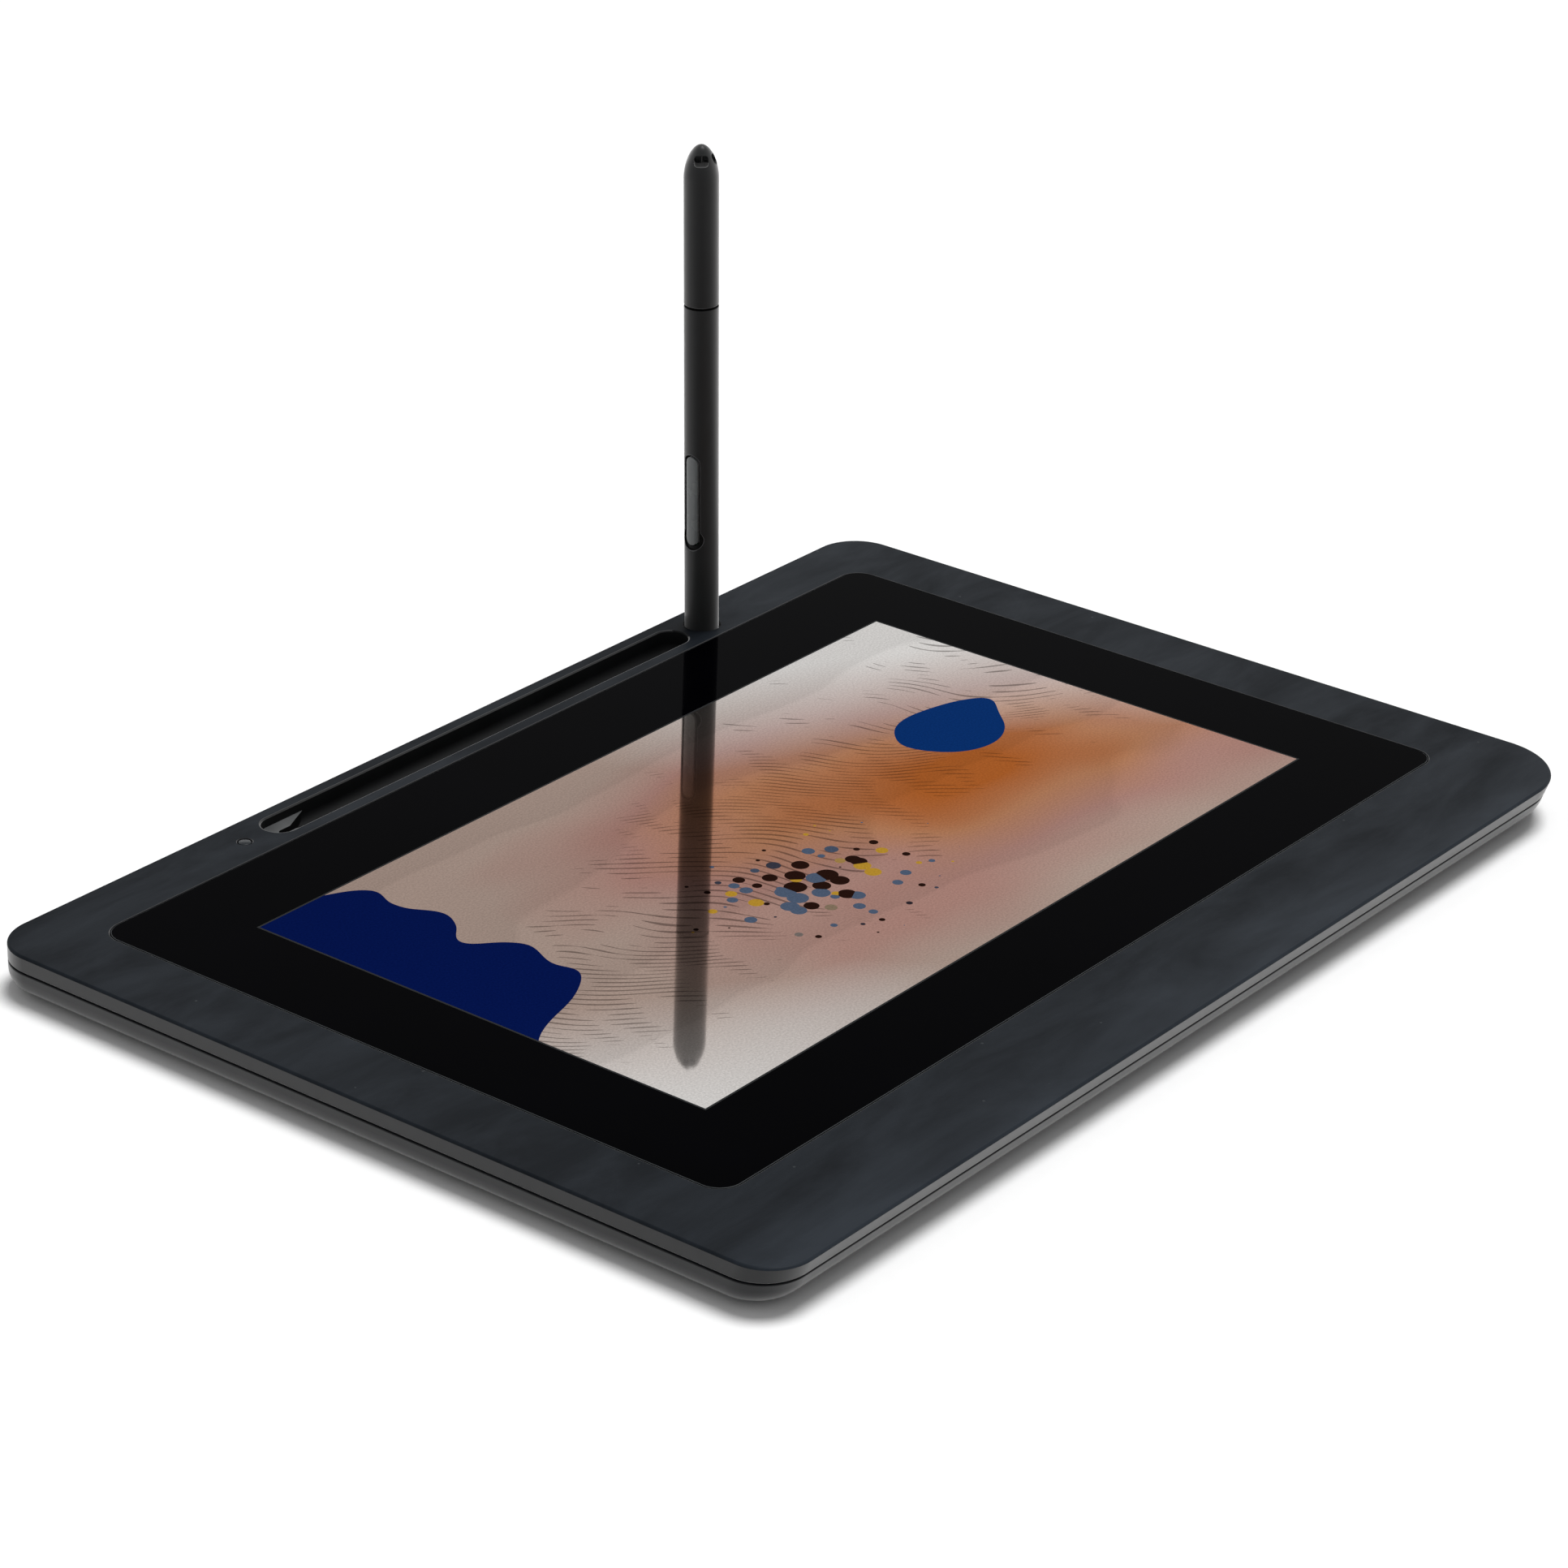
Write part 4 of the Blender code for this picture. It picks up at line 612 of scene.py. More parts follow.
def dark_plug_material():
    """Nylon, turned: the deep black ring in the pen's joint."""
    return moulded("Nylon, black plug", linear("101112"), 0.5, 0.4, 0.3 * MM, 0.02 * MM, 4 * MM, 0.2)


def rubber_material():
    """Silicone rubber, compression moulded: dull black, with fine pores and dust from the table."""
    return textured("Silicone rubber, moulded foot", linear("1a1a1b"), 0.8, (0.1, 0.1), 3 * MM, 0.3,
                    ("TexVoronoi", 0.4 * MM), 0.5, 0.04 * MM, specular=0.4)


def steel_material(name, code, roughness, stretch, size):
    """Steel with the direction of its working: fine lines drawn long one way."""
    return textured(name, linear(code), roughness, (0.08, 0.1), size, 0.12, ("TexNoise", 0.3 * MM), 0.25,
                    0.01 * MM, stretch, metallic=1.0)


def board_material(name, top):
    """Fibreglass board, solder mask over etched copper: green with paler tracks. Above a height the parts on
    it are black epoxy."""
    shade = linear("0e4a2c")
    material, tree, shader, place = new_material(name, shade, 0.35)
    tracks = add(tree, "TexBrick", {"Vector": place, "Scale": 1.0 / (6 * MM), "Mortar Size": 0.05,
                                    "Color1": shade, "Color2": linear("0c4126"), "Mortar": linear("2c7a4c")})
    height = add(tree, "SeparateXYZ", {0: place}).outputs[2]
    chip = add(tree, "Math", {0: height, 1: top}, operation="GREATER_THAN")
    ink = add(tree, "TexNoise", {"Vector": place, "Scale": 1.0 / (0.5 * MM)})
    epoxy = stops(add(tree, "ValToRGB", {"Fac": ink}), (0.3, linear("131313")), (0.7, linear("1e1e1f")))
    mixed = add(tree, "Mix", {0: chip, 6: tracks, 7: epoxy}, data_type="RGBA")
    feed(tree, shader, {"Base Color": mixed.outputs[2]})
    vary_gloss(tree, shader, ink, 0.28, 0.5)
    relief(tree, shader, tracks.outputs["Fac"], 0.3, 0.03 * MM)
    return material


WAVE = 0.314                # length of one wave of a wave texture at a scale of 1


def film_material(name, base, track, pitch):
    """Polyimide film with copper tracks at a pitch in metres: amber, with stripes that shine through."""
    material, tree, shader, place = new_material(name, linear(base), 0.35)
    stripes = add(tree, "TexWave", {"Vector": place, "Scale": WAVE / pitch}, bands_direction="X").outputs[1]
    tone = stops(add(tree, "ValToRGB", {"Fac": stripes}), (0.55, linear(base)), (0.7, linear(track)))
    feed(tree, shader, {"Base Color": tone})
    haze = add(tree, "TexNoise", {"Vector": place, "Scale": 1.0 / (8 * MM), "Detail": 4.0})
    vary_gloss(tree, shader, haze, 0.25, 0.5)
    relief(tree, shader, stripes, 0.3, 0.02 * MM)
    return material


def cell_material(name, code, cell, depth, roughness):
    """A surface of small cells, such as foam or a dotted diffuser."""
    return textured(name, linear(code), roughness, (0.08, 0.05), 10 * cell, 0.15, ("TexVoronoi", cell), 0.6,
                    depth)


def coil_material():
    """Enamelled copper, wound: fine turns of a warm red metal. The 0.1 mm wire is drawn 0.3 mm wide."""
    shade = linear("b4673a")
    material, tree, shader, place = new_material("Enamelled copper, wound", shade, 0.35, metallic=1.0)
    wave = {"Vector": place, "Scale": WAVE / (0.3 * MM)}
    turns = add(tree, "TexWave", wave, bands_direction="Z").outputs[1]
    tone = stops(add(tree, "ValToRGB", {"Fac": turns}), (0.0, linear("6a3418")), (0.6, shade))
    feed(tree, shader, {"Base Color": tone})
    vary_gloss(tree, shader, turns, 0.45, 0.3)
    relief(tree, shader, turns, 0.6, 0.1 * MM)
    return material


def light_material():
    """Polycarbonate, smoked and moulded: when it is off, a dot only a little glossier than the shell."""
    return textured("Polycarbonate, smoked light guide", linear("23272b"), 0.25, (0.07, 0.07), 1 * MM, 0.12,
                    ("TexNoise", 0.3 * MM), 0.2, 0.01 * MM, specular=0.2)


# ---------------------------------------------------------------- the shells

TRAY_W = 9.0 * MM
TRAY_FLOOR = 6.0 * MM       # height of the tray's floor over the table
TRAY_FLOOR_R = 2.2 * MM     # rounding along the floor
TRAY_RIM = 0.4 * MM         # rounding of the mouth
SHELF = 9.1 * MM            # height of the shelf at the tray's left end
SHELF_LENGTH = 16.4 * MM
CONE_LENGTH = 7.7 * MM      # the hollow narrows into the shelf like the pen's nose
SLOT_LENGTH = 4.3 * MM      # slot at the end of the cone, for the nib
SLOT_W = 2.0 * MM
WALL = 1.9 * MM
PLATE = 2.0 * MM            # thickness of the top face
PAN = 1.6 * MM              # thickness of the lower shell's floor
ROOT = 0.3 * MM             # how far a rib or a boss stands inside what it grows from
LIP = 0.8 * MM              # lip of the lower shell, inside the upper one
LIP_HEIGHT = 1.2 * MM
FIT = 0.3 * MM              # gap between pieces that go into each other
SOFT = 0.15 * MM            # broken edges of moulded pieces
STAND_FLOOR = 3.9 * MM      # height of the pen's hole's floor over the table
STAND_CONE = 5.5 * MM
FOOT_R = 6.0 * MM
SCREW_HOLE_R = 1.55 * MM
BUTTON_W, BUTTON_H = 8.0 * MM, 2.6 * MM
OVER = 1.0 * MM             # how far a cutting tool stands past what it cuts


def row_y():
    """Middle line of the pen's hole and the status light."""
    return settings().housing.depth / 2 - 8.5 * MM


def tray_y():
    """Middle line of the tray."""
    return row_y() + 0.4 * MM


def tray_length():
    """Length of the tray's hollow."""
    return settings().housing.width - 158.8 * MM


def stand_x():
    """Middle of the pen's hole, to the right of the housing's middle."""
    return tray_length() / 2 + 7.5 * MM


def screw_places():
    """The six screws, front row first."""
    sizes = settings().housing
    side = sizes.width / 2 - 14.0 * MM
    front = -sizes.depth / 2 + 14.5 * MM
    back = sizes.depth / 2 - 12.5 * MM
    ledge = GLASS_HIGH.y - 5.0 * MM
    return [(-side, front), (0.0, front), (side, front), (-side, back), (0.0, ledge), (side, back)]


def foot_places():
    """The four feet, front row first."""
    sizes = settings().housing
    side = sizes.width / 2 - 30.0 * MM
    front = -sizes.depth / 2 + 28.0 * MM
    back = sizes.depth / 2 - 30.0 * MM
    return [(-side, front), (side, front), (-side, back), (side, back)]


def tray_tool():
    """The tray's hollow, rounded along its floor and broken at its mouth, less the shelf at its left end."""
    top = settings().housing.top
    rings = [(TRAY_FLOOR + TRAY_FLOOR_R * up, -TRAY_FLOOR_R * aside) for aside, up in arc(8)]
    rings += [(top - TRAY_RIM * down, TRAY_RIM * aside) for down, aside in arc(4)]
    rings.append((top + OVER, TRAY_RIM))
    tool = plate("tray_hollow", tray_length(), TRAY_W, TRAY_W / 2, rings, (0.0, tray_y()))
    left = -tray_length() / 2 - OVER
    cone = -tray_length() / 2 + SHELF_LENGTH - CONE_LENGTH
    side, slot = TRAY_W / 2 + OVER, SLOT_W / 2
    wide = cone + CONE_LENGTH * (side - slot) / (TRAY_W / 2 - slot)
    front = [(left, -side), (wide, -side), (cone, -slot)]
    front += reversed(quarter(cone - SLOT_LENGTH + slot, 0.0, slot, math.pi, 8))
    points = front + [(x, -y) for x, y in reversed(front[:-1])]
    heights = (TRAY_FLOOR - OVER, SHELF)
    shelf = loft("tray_shelf", [[(x, tray_y() + y, z) for x, y in points] for z in heights])
    return combine(tool, "DIFFERENCE", shelf)


def stand_tool(name, wall, low, high, flare=0.0):
    """The pen's hole, or with a wall the cup round it: a cone below a cylinder, flared at the top."""
    cone = 1.8 * MM + FIT + wall
    wide = settings().pen.radius + FIT + wall
    profile = [(0.0, low), (cone, low), (wide, STAND_FLOOR + STAND_CONE)]
    if flare:
        top = settings().housing.top
        profile += [(wide + flare * aside, top - flare * down) for down, aside in arc(4)]
    profile += [(wide + flare, high), (0.0, high)]
    return move(turned(name, profile), shift(stand_x(), row_y()))


def into_wall(piece, node, y):
    """Turn a piece that was drawn along Z into the back wall, at a depth and where a node stands."""
    low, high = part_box(node)
    place = shift((low.x + high.x) / 2, y, settings().housing.joint)
    return move(piece, place @ Matrix.Rotation(math.pi / 2, 4, "X"))


def wall_hole(name, width, height, node, flare):
    """An oblong hole through the back wall, with room for a node's piece and broken at its mouth."""
    width, height = width + 2 * FIT, height + 2 * FIT
    levels = [(-OVER, flare), (0.0, flare), (flare, 0.0), (WALL + 2 * OVER, 0.0)]
    return into_wall(plate(name, width, height, height / 2, levels), node, settings().housing.depth / 2)


def back_holes():
    """Tools for the data socket's and the power button's openings."""
    return [wall_hole("socket_hole", 8.9 * MM, 3.2 * MM, "data_socket", 0.4 * MM),
            wall_hole("button_hole", BUTTON_W, BUTTON_H, "power_button", SOFT)]


def upper_solid():
    """The upper shell's outside, with its rounded rim, hollowed from below."""
    sizes = settings().housing
    low = sizes.joint + sizes.joint_gap / 2
    rings = [housing_ring(low, SOFT), housing_ring(low + SOFT, 0.0)]
    rings += [housing_ring(sizes.top - sizes.rim * down, sizes.rim * aside) for down, aside in arc(8)]
    shell = loft("housing_top", rings)
    rim_inset = WALL - LIP - FIT
    lip_top = low + LIP_HEIGHT + FIT
    hollow = loft("top_hollow", [housing_ring(low - OVER, rim_inset), housing_ring(lip_top, rim_inset),
                                 housing_ring(lip_top, WALL), housing_ring(sizes.top - PLATE, WALL)])
    return combine(shell, "DIFFERENCE", hollow)


def upper_shell():
    """Upper shell with the glass recess and its ledge, the tray, the pen stand, bosses and openings."""
    sizes, screen = settings().housing, settings().screen
    shell = upper_solid()
    under = sizes.top - PLATE + ROOT
    ledge_top = GLASS_LOW.z - 1.0 * MM
    ledge_low = ledge_top - 1.2 * MM
    seat_wall = screen.recess + 1.8 * MM
    seat = plate("glass_seat", GLASS_W, GLASS_D, screen.corner, [(ledge_low, seat_wall), (under, seat_wall)],
                 GLASS_MIDDLE)
    tray_wall = 0.8 * MM
    cup = plate("tray_body", tray_length(), TRAY_W, TRAY_W / 2,
                [(TRAY_FLOOR - tray_wall, tray_wall), (under, tray_wall)], (0.0, tray_y()))
    stand = stand_tool("stand_body", 1.4 * MM, 2.9 * MM, under)
    bosses = posts("bosses", screw_places(), rod(3.2 * MM, 4.5 * MM, under))
    combine(shell, "UNION", seat, cup, stand, bosses)

    gap = screen.recess
    levels = [(ledge_top, gap), (sizes.top - SOFT, gap), (sizes.top - 0.3 * SOFT, gap + 0.3 * SOFT),
              (sizes.top, gap + SOFT), (sizes.top + OVER, gap + SOFT)]
    recess = plate("glass_recess", GLASS_W, GLASS_D, screen.corner, levels, GLASS_MIDDLE)
    window = plate("glass_window", GLASS_W - 16 * MM, GLASS_D - 16 * MM, 3 * MM,
                   [(ledge_low - OVER, 0.0), (sizes.top, 0.0)], GLASS_MIDDLE)
    light_r = 1.8 * MM
    light = posts("light_hole", [(-stand_x(), row_y())],
                  [(0.0, under - 2 * OVER), (light_r, under - 2 * OVER), (light_r, sizes.top - SOFT),
                   (light_r + SOFT, sizes.top), (light_r + SOFT, sizes.top + OVER), (0.0, sizes.top + OVER)])
    pilots = posts("pilots", screw_places(), rod(SCREW_HOLE_R, 3.2 * MM, ledge_low), 24)
    hole = stand_tool("stand_hole", 0.0, STAND_FLOOR, sizes.top + OVER, 0.25 * MM)
    combine(shell, "DIFFERENCE", recess, window, tray_tool(), hole, light, pilots, *back_holes())
    return shell


def lower_shell():
    """Lower shell: a shallow pan with a rounded lower edge, a lip, ribs, bosses and seats."""
    sizes = settings().housing
    base = COVER_LOW.z
    rim = sizes.joint - sizes.joint_gap / 2
    lip_top = sizes.joint + sizes.joint_gap / 2 + LIP_HEIGHT
    floor = base + PAN
    rings = [housing_ring(base + sizes.under * up, sizes.under * aside) for up, aside in reversed(arc(12))]
    rings += [housing_ring(rim - SOFT, 0.0), housing_ring(rim, SOFT), housing_ring(rim, WALL - LIP),
              housing_ring(lip_top, WALL - LIP)]
    cover = loft("housing_bottom", rings)
    inner_r, inner_run = sizes.under - PAN, sizes.under - WALL
    inner = [housing_ring(floor + inner_r * up, WALL + inner_run * aside) for up, aside in reversed(arc(6))]
    inner.append(housing_ring(lip_top + OVER, WALL))
    combine(cover, "DIFFERENCE", loft("pan_hollow", inner))

    panel_w, panel_d = PANEL_HIGH.x - PANEL_LOW.x, PANEL_HIGH.y - PANEL_LOW.y
    middle_y = GLASS_MIDDLE[1]
    rib_low, rib_high = floor - ROOT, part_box("shield_plate")[0].z - FIT
    rib_z, rib_h = (rib_low + rib_high) / 2, rib_high - rib_low
    rib_w = 1.2 * MM
    long, across = (0.895 * panel_w, rib_w, rib_h), (rib_w, 0.85 * panel_d, rib_h)
    ribs = [((0.0, middle_y + side * 0.32 * panel_d, rib_z), long) for side in (-1, 1)]
    cross = [((side * 0.32 * panel_w, middle_y, rib_z), across) for side in (-1, 0, 1)]
    bosses = posts("cover_bosses", screw_places(), rod(4.2 * MM, rib_low, 4.2 * MM))
    low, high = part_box("main_board")
    board_z = low.z - FIT
    edge = 5 * MM
    props = [(x, y) for x in (low.x + edge, high.x - edge) for y in (low.y + edge, high.y - edge)]
    standoffs = posts("board_posts", props, rod(2 * MM, rib_low, board_z), 32)
    combine(cover, "UNION", boxes("long_ribs", ribs), boxes("cross_ribs", cross), bosses, standoffs)

    deep = base - OVER

    def pocket(radius, bottom):
        """Profile of a round pocket in the underside, broken at its mouth."""
        return [(0.0, deep), (radius + SOFT, deep), (radius + SOFT, base), (radius, base + SOFT),
                (radius, bottom), (0.0, bottom)]

    seats = posts("screw_seats", screw_places(), pocket(2.8 * MM, 2.9 * MM))
    holes = posts("screw_holes", screw_places(), rod(SCREW_HOLE_R, deep, 5.2 * MM), 24)
    feet = posts("foot_seats", foot_places(), pocket(FOOT_R + FIT, base + 0.6 * MM), 72)
    combine(cover, "DIFFERENCE", seats, holes, feet, *back_holes())
    return cover


class MakeShells(bpy.types.Operator):
    """Make the upper and the lower shell of the housing"""
    bl_idname = "pen_display.make_shells"
    bl_label = "Shells"

    def execute(self, context):
        sizes = settings().housing
        top, side = housing_top_material(), housing_side_material()
        # The inner faces keep the mould's plain grain: dull, and a shade lighter than the walls
        inside = moulded("ABS, inner faces", tuple(sizes.inside_colour), 0.5, 0.3, 0.6 * MM, 0.02 * MM)
        # The tray's flat black is painted shade: it darkens the hollow where the shadow falls
        tray = moulded("ABS, tray", linear("0a0b0c"), 0.6, 0.12, 0.5 * MM, 0.03 * MM, 10 * MM, 0.25)
        # The shelf is painted paler than the tray: painted light on the one face of the hollow that the light
        # reaches, with a polished finish
        shelf = moulded("ABS, polished shelf", linear("434546"), 0.35, 0.3, 0.5 * MM, 0.01 * MM, 8 * MM, 0.2,
                        0.4)

        def upper_finish(face):
            """By place and slope: 0 top face, 1 walls and broken edges, 2 inside, 3 tray with painted shade,
            4 its shelf with painted light.
            """
            x, y, z = face.center
            if z > sizes.top - sizes.rim:
                if face.normal.z > 0.99 or wall_distance(x, y, z) < 2.0 * MM:
                    return 0
                # The rim of the pen's hole gets the tray's painted shade: a painted shadow round the pen's
                # foot
                pen_foot_shade = math.hypot(x - stand_x(), y - row_y()) < 2 * settings().pen.radius
                return 3 if pen_foot_shade else 1
            beside = max(abs(x) - tray_length() / 2, abs(y - tray_y()) - TRAY_W / 2)
            if beside < FIT and z > TRAY_FLOOR - FIT:
                return 4 if face.normal.z > 0.9 and z > SHELF - FIT else 3
            return 1 if wall_distance(x, y, z) < FIT else 2

        def lower_finish(face):
            """0 underside, 1 walls, 2 inside."""
            x, y, z = face.center
            if face.normal.z < -0.98 and z < COVER_LOW.z + SOFT:
                return 0
            outer = wall_distance(x, y, z) < FIT or (face.normal.z < 0.0 and z < COVER_LOW.z + sizes.under)
            return 1 if outer else 2

        finishes = [top, side, inside]
        dress(upper_shell(), "base", finishes + [tray, shelf], ["front_housing"], upper_finish)
        dress(lower_shell(), "base", finishes, ["rear_cover"], lower_finish)
        return {"FINISHED"}


# ---------------------------------------------------------------- glass and light

class MakeGlass(bpy.types.Operator):
    """Make the cover glass with its black border and its picture"""
    bl_idname = "pen_display.make_glass"
    bl_label = "Cover glass"

    def execute(self, context):
        screen = settings().screen
        low, high, bevel = GLASS_LOW.z, GLASS_HIGH.z, screen.bevel
        levels = [(low, -bevel), (low + bevel, 0.0), (high - bevel, 0.0), (high - 0.4 * bevel, -0.2 * bevel),
                  (high, -bevel)]
        glass = plate("glass_with_picture", GLASS_W, GLASS_D, screen.corner, levels, GLASS_MIDDLE)
        # Toughened glass, ground edge: a thin matt line round the black border
        ground = moulded("Toughened glass, ground edge", linear("303336"), 0.5, 0.2, 0.3 * MM, 0.01 * MM,
                         5 * MM, 0.1)

        def glass_finish(face):
            """The face with its print, or the ground edge."""
            return 1 if face.normal.z < 0.98 else 0

        dress(glass, "base", [screen_material(), ground], ["cover_glass"], glass_finish)
        return {"FINISHED"}


class MakeStatusLight(bpy.types.Operator):
    """Make the status light's pin, a smoked light guide"""
    bl_idname = "pen_display.make_status_light"
    bl_label = "Status light"

    def execute(self, context):
        low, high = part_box("status_light_pipe")
        under = settings().housing.top - PLATE - FIT
        radius, collar, stem, rounding = 1.5 * MM, 2.6 * MM, 1.2 * MM, 0.2 * MM
        collar_low = under - 0.6 * MM
        profile = [(0.0, high.z)]
        profile += [(radius - rounding * aside, high.z - rounding * down) for aside, down in arc(5)[1:]]
        profile += [(radius, under), (collar, under), (collar, collar_low), (stem, collar_low),
                    (stem, low.z), (0.0, low.z)]
        pin = move(turned("status_light", profile, 64), shift(-stand_x(), row_y()))
        dress(pin, "base", [light_material()], ["status_light_pipe"])
        return {"FINISHED"}


# ---------------------------------------------------------------- back wall, screws and feet

class MakeBackFittings(bpy.types.Operator):
    """Make the data socket and the power button in the back wall"""
    bl_idname = "pen_display.make_back_fittings"
    bl_label = "Socket and power button"

    def execute(self, context):
        low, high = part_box("data_socket")
        wide, tall, long = high.x - low.x, high.z - low.z, high.y - low.y
        broken, inner = 0.1 * MM, 6.2 * MM
        shell = plate("socket_shell", wide, tall, tall / 2, [(0.0, -broken), (broken, 0.0), (long, 0.0)])
        hollow = plate("socket_hollow", wide - 0.6 * MM, tall - 0.6 * MM, tall / 2 - 0.3 * MM,
                       [(-OVER, broken), (0.0, broken), (broken, 0.0), (inner, 0.0)])
        combine(shell, "DIFFERENCE", hollow)
        tongue = plate("tongue", 6.0 * MM, 0.7 * MM, 0.3 * MM,
                       [(0.5 * MM, -broken), (0.7 * MM, 0.0), (long - 0.3 * MM, 0.0)])
        combine(shell, "UNION", tongue)
        into_wall(shell, "data_socket", high.y)
        # Stainless steel, drawn: bright, with faint lines round the socket
        plating = steel_material("Stainless steel, drawn shell", "b9bbbd", 0.28, (1.0, 1.0, 8.0), 2 * MM)
        # Liquid crystal polymer, moulded: the tongue and the contacts' carrier
        carrier = moulded("Polymer, contact carrier", linear("17181a"), 0.45, 0.5, 0.2 * MM, 0.01 * MM,
                          2 * MM)
        middle_z = (low.z + high.z) / 2

        def part_of(face):
            """The tongue is polymer and the shell is steel."""
            x, y, z = face.center
            in_tongue = abs(z - middle_z) < 0.5 * MM and abs(x - (low.x + high.x) / 2) < 3.05 * MM
            return 1 if in_tongue and y > high.y - inner else 0

        dress(shell, "base", [plating, carrier], ["data_socket"], part_of)

        button_low, button_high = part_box("power_button")
        depth, rounding = button_high.y - button_low.y, 0.25 * MM
        levels = [(rounding * behind, -rounding * inset) for inset, behind in arc(4)] + [(2.0 * MM, 0.0)]
        cap = plate("power_cap", BUTTON_W, BUTTON_H, BUTTON_H / 2, levels)
        flange = plate("power_flange", BUTTON_W + 2.0 * MM, BUTTON_H + 1.0 * MM, BUTTON_H / 2,
                       [(depth - 0.5 * MM, 0.0), (depth, 0.0)])
        combine(cap, "UNION", flange)
        into_wall(cap, "power_button", button_high.y)
        dress(cap, "power_key", [key_material()], ["power_button"])
        return {"FINISHED"}


class MakeScrews(bpy.types.Operator):
    """Make the six case screws with their cross recesses"""
    bl_idname = "pen_display.make_screws"
    bl_label = "Screws"

    def execute(self, context):
        # Steel, blackened: dark, with faint patches
        metal = steel_material("Steel, blackened screw", "4a4b4d", 0.35, (1.0, 1.0, 1.0), 1 * MM)
        names = ("screw_front_left", "screw_front_middle", "screw_front_right",
                 "screw_back_left", "screw_back_middle", "screw_back_right")
        thread, root, pitch, point = 1.25 * MM, 1.0 * MM, 0.5 * MM, 0.6 * MM
        head, head_height, dome = 2.5 * MM, 1.3 * MM, 0.5 * MM
        cross, bit, cross_depth = 2.6 * MM, 0.5 * MM, 1.6 * MM
        for name, (x, y) in zip(names, screw_places()):
            low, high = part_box(name)
            z = high.z - point
            profile = [(0.0, high.z), (0.65 * MM, high.z), (thread, z)]
            while z - pitch > low.z + head_height + 0.2 * MM:
                profile += [(thread, z - 0.2 * pitch), (root, z - 0.5 * pitch), (thread, z - 0.8 * pitch)]
                z -= pitch
            profile += [(thread, low.z + head_height), (head - 0.1 * MM, low.z + head_height),
                        (head, low.z + head_height - 0.1 * MM), (head, low.z + dome)]
            profile += [(head - dome * aside, low.z + dome * up) for up, aside in arc(5)[1:]]
            profile.append((0.0, low.z))
            screw = move(turned(name + "_form", profile, 48), shift(x, y))
            along = [((x, y, low.z), (cross, bit, cross_depth))]
            across = [((x, y, low.z), (bit, cross, cross_depth))]
            combine(screw, "DIFFERENCE", boxes("along", along), boxes("across", across))
            dress(screw, "base", [metal], [name])
        return {"FINISHED"}


class MakeFeet(bpy.types.Operator):
    """Make the four rubber feet"""
    bl_idname = "pen_display.make_feet"
    bl_label = "Feet"

    def execute(self, context):
        rubber = rubber_material()
        names = ("foot_front_left", "foot_front_right", "foot_back_left", "foot_back_right")
        rounding = 0.4 * MM
        for name, (x, y) in zip(names, foot_places()):
            low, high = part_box(name)
            profile = [(0.0, high.z), (FOOT_R, high.z)]
            profile += [(FOOT_R - rounding * aside, low.z + rounding * up) for up, aside in arc(6)]
            profile.append((0.0, low.z))
            foot = move(turned(name + "_pad", profile, 72), shift(x, y))
            dress(foot, "base", [rubber], [name])
        return {"FINISHED"}


# ---------------------------------------------------------------- the pen

NOSE_START = 1.2 * MM       # the barrel's open end, along the pen from the nib's tip
NOSE_END = 6.6 * MM
NOSE_R = 1.8 * MM
DOME = 8.3 * MM             # length of the cap's rounded end
BORE_R = 3.2 * MM           # bore of the barrel and the cap
PLUG_HALF = 8.3 * MM        # how far the plug reaches into each of them
KEY_LOW, KEY_HIGH, KEY_W = 30.3 * MM, 53.7 * MM, 3.4 * MM
PRESS_AT = 31.9 * MM        # middle of the scoop and of the key's pusher
CHANNEL_EDGE = 0.12 * MM    # depth and width of the edge round the switch's channel, which carries a painted highlight


def pen_frame():
    """Where the pen's axis starts, at the nib's tip, and how it leans."""
    return shift(stand_x(), row_y(), STAND_FLOOR + FIT) @ Matrix.Rotation(-settings().pen.lean, 4, "Y")


def pen_tool(name, start, end, width, near, far):
    """A round-ended slot along the pen, carried in from the side that faces left."""
    half = width / 2
    points = outline(start, end, -half, half, half, half, half, half, 16)
    tool = loft(name, [[(z, y, depth) for z, y in points] for depth in (near, far)])
    return move(tool, Matrix.Rotation(-math.pi / 2, 4, "Y"))


def pen_finish(face):
    """The pen's skin; the faces below it at the switch and the joint, which carry painted shade; or the
    channel's edge, which carries a painted highlight.
    """
    pen = settings().pen
    x, y, z = face.center
    depth = pen.radius - math.hypot(x, y)
    if not NOSE_END < z < pen.reach - DOME or depth < 0.5 * CHANNEL_EDGE:
        return 0
    return 2 if depth < 1.5 * CHANNEL_EDGE and z < pen.joint / 1.5 else 1


def place_on_pen(piece, body, materials, nodes, choose=None):
    """Set a piece that was drawn along Z onto the pen's axis, and keep its coordinates for its material."""
    piece.matrix_world = pen_frame()
    dress(piece, body, materials, nodes, choose)


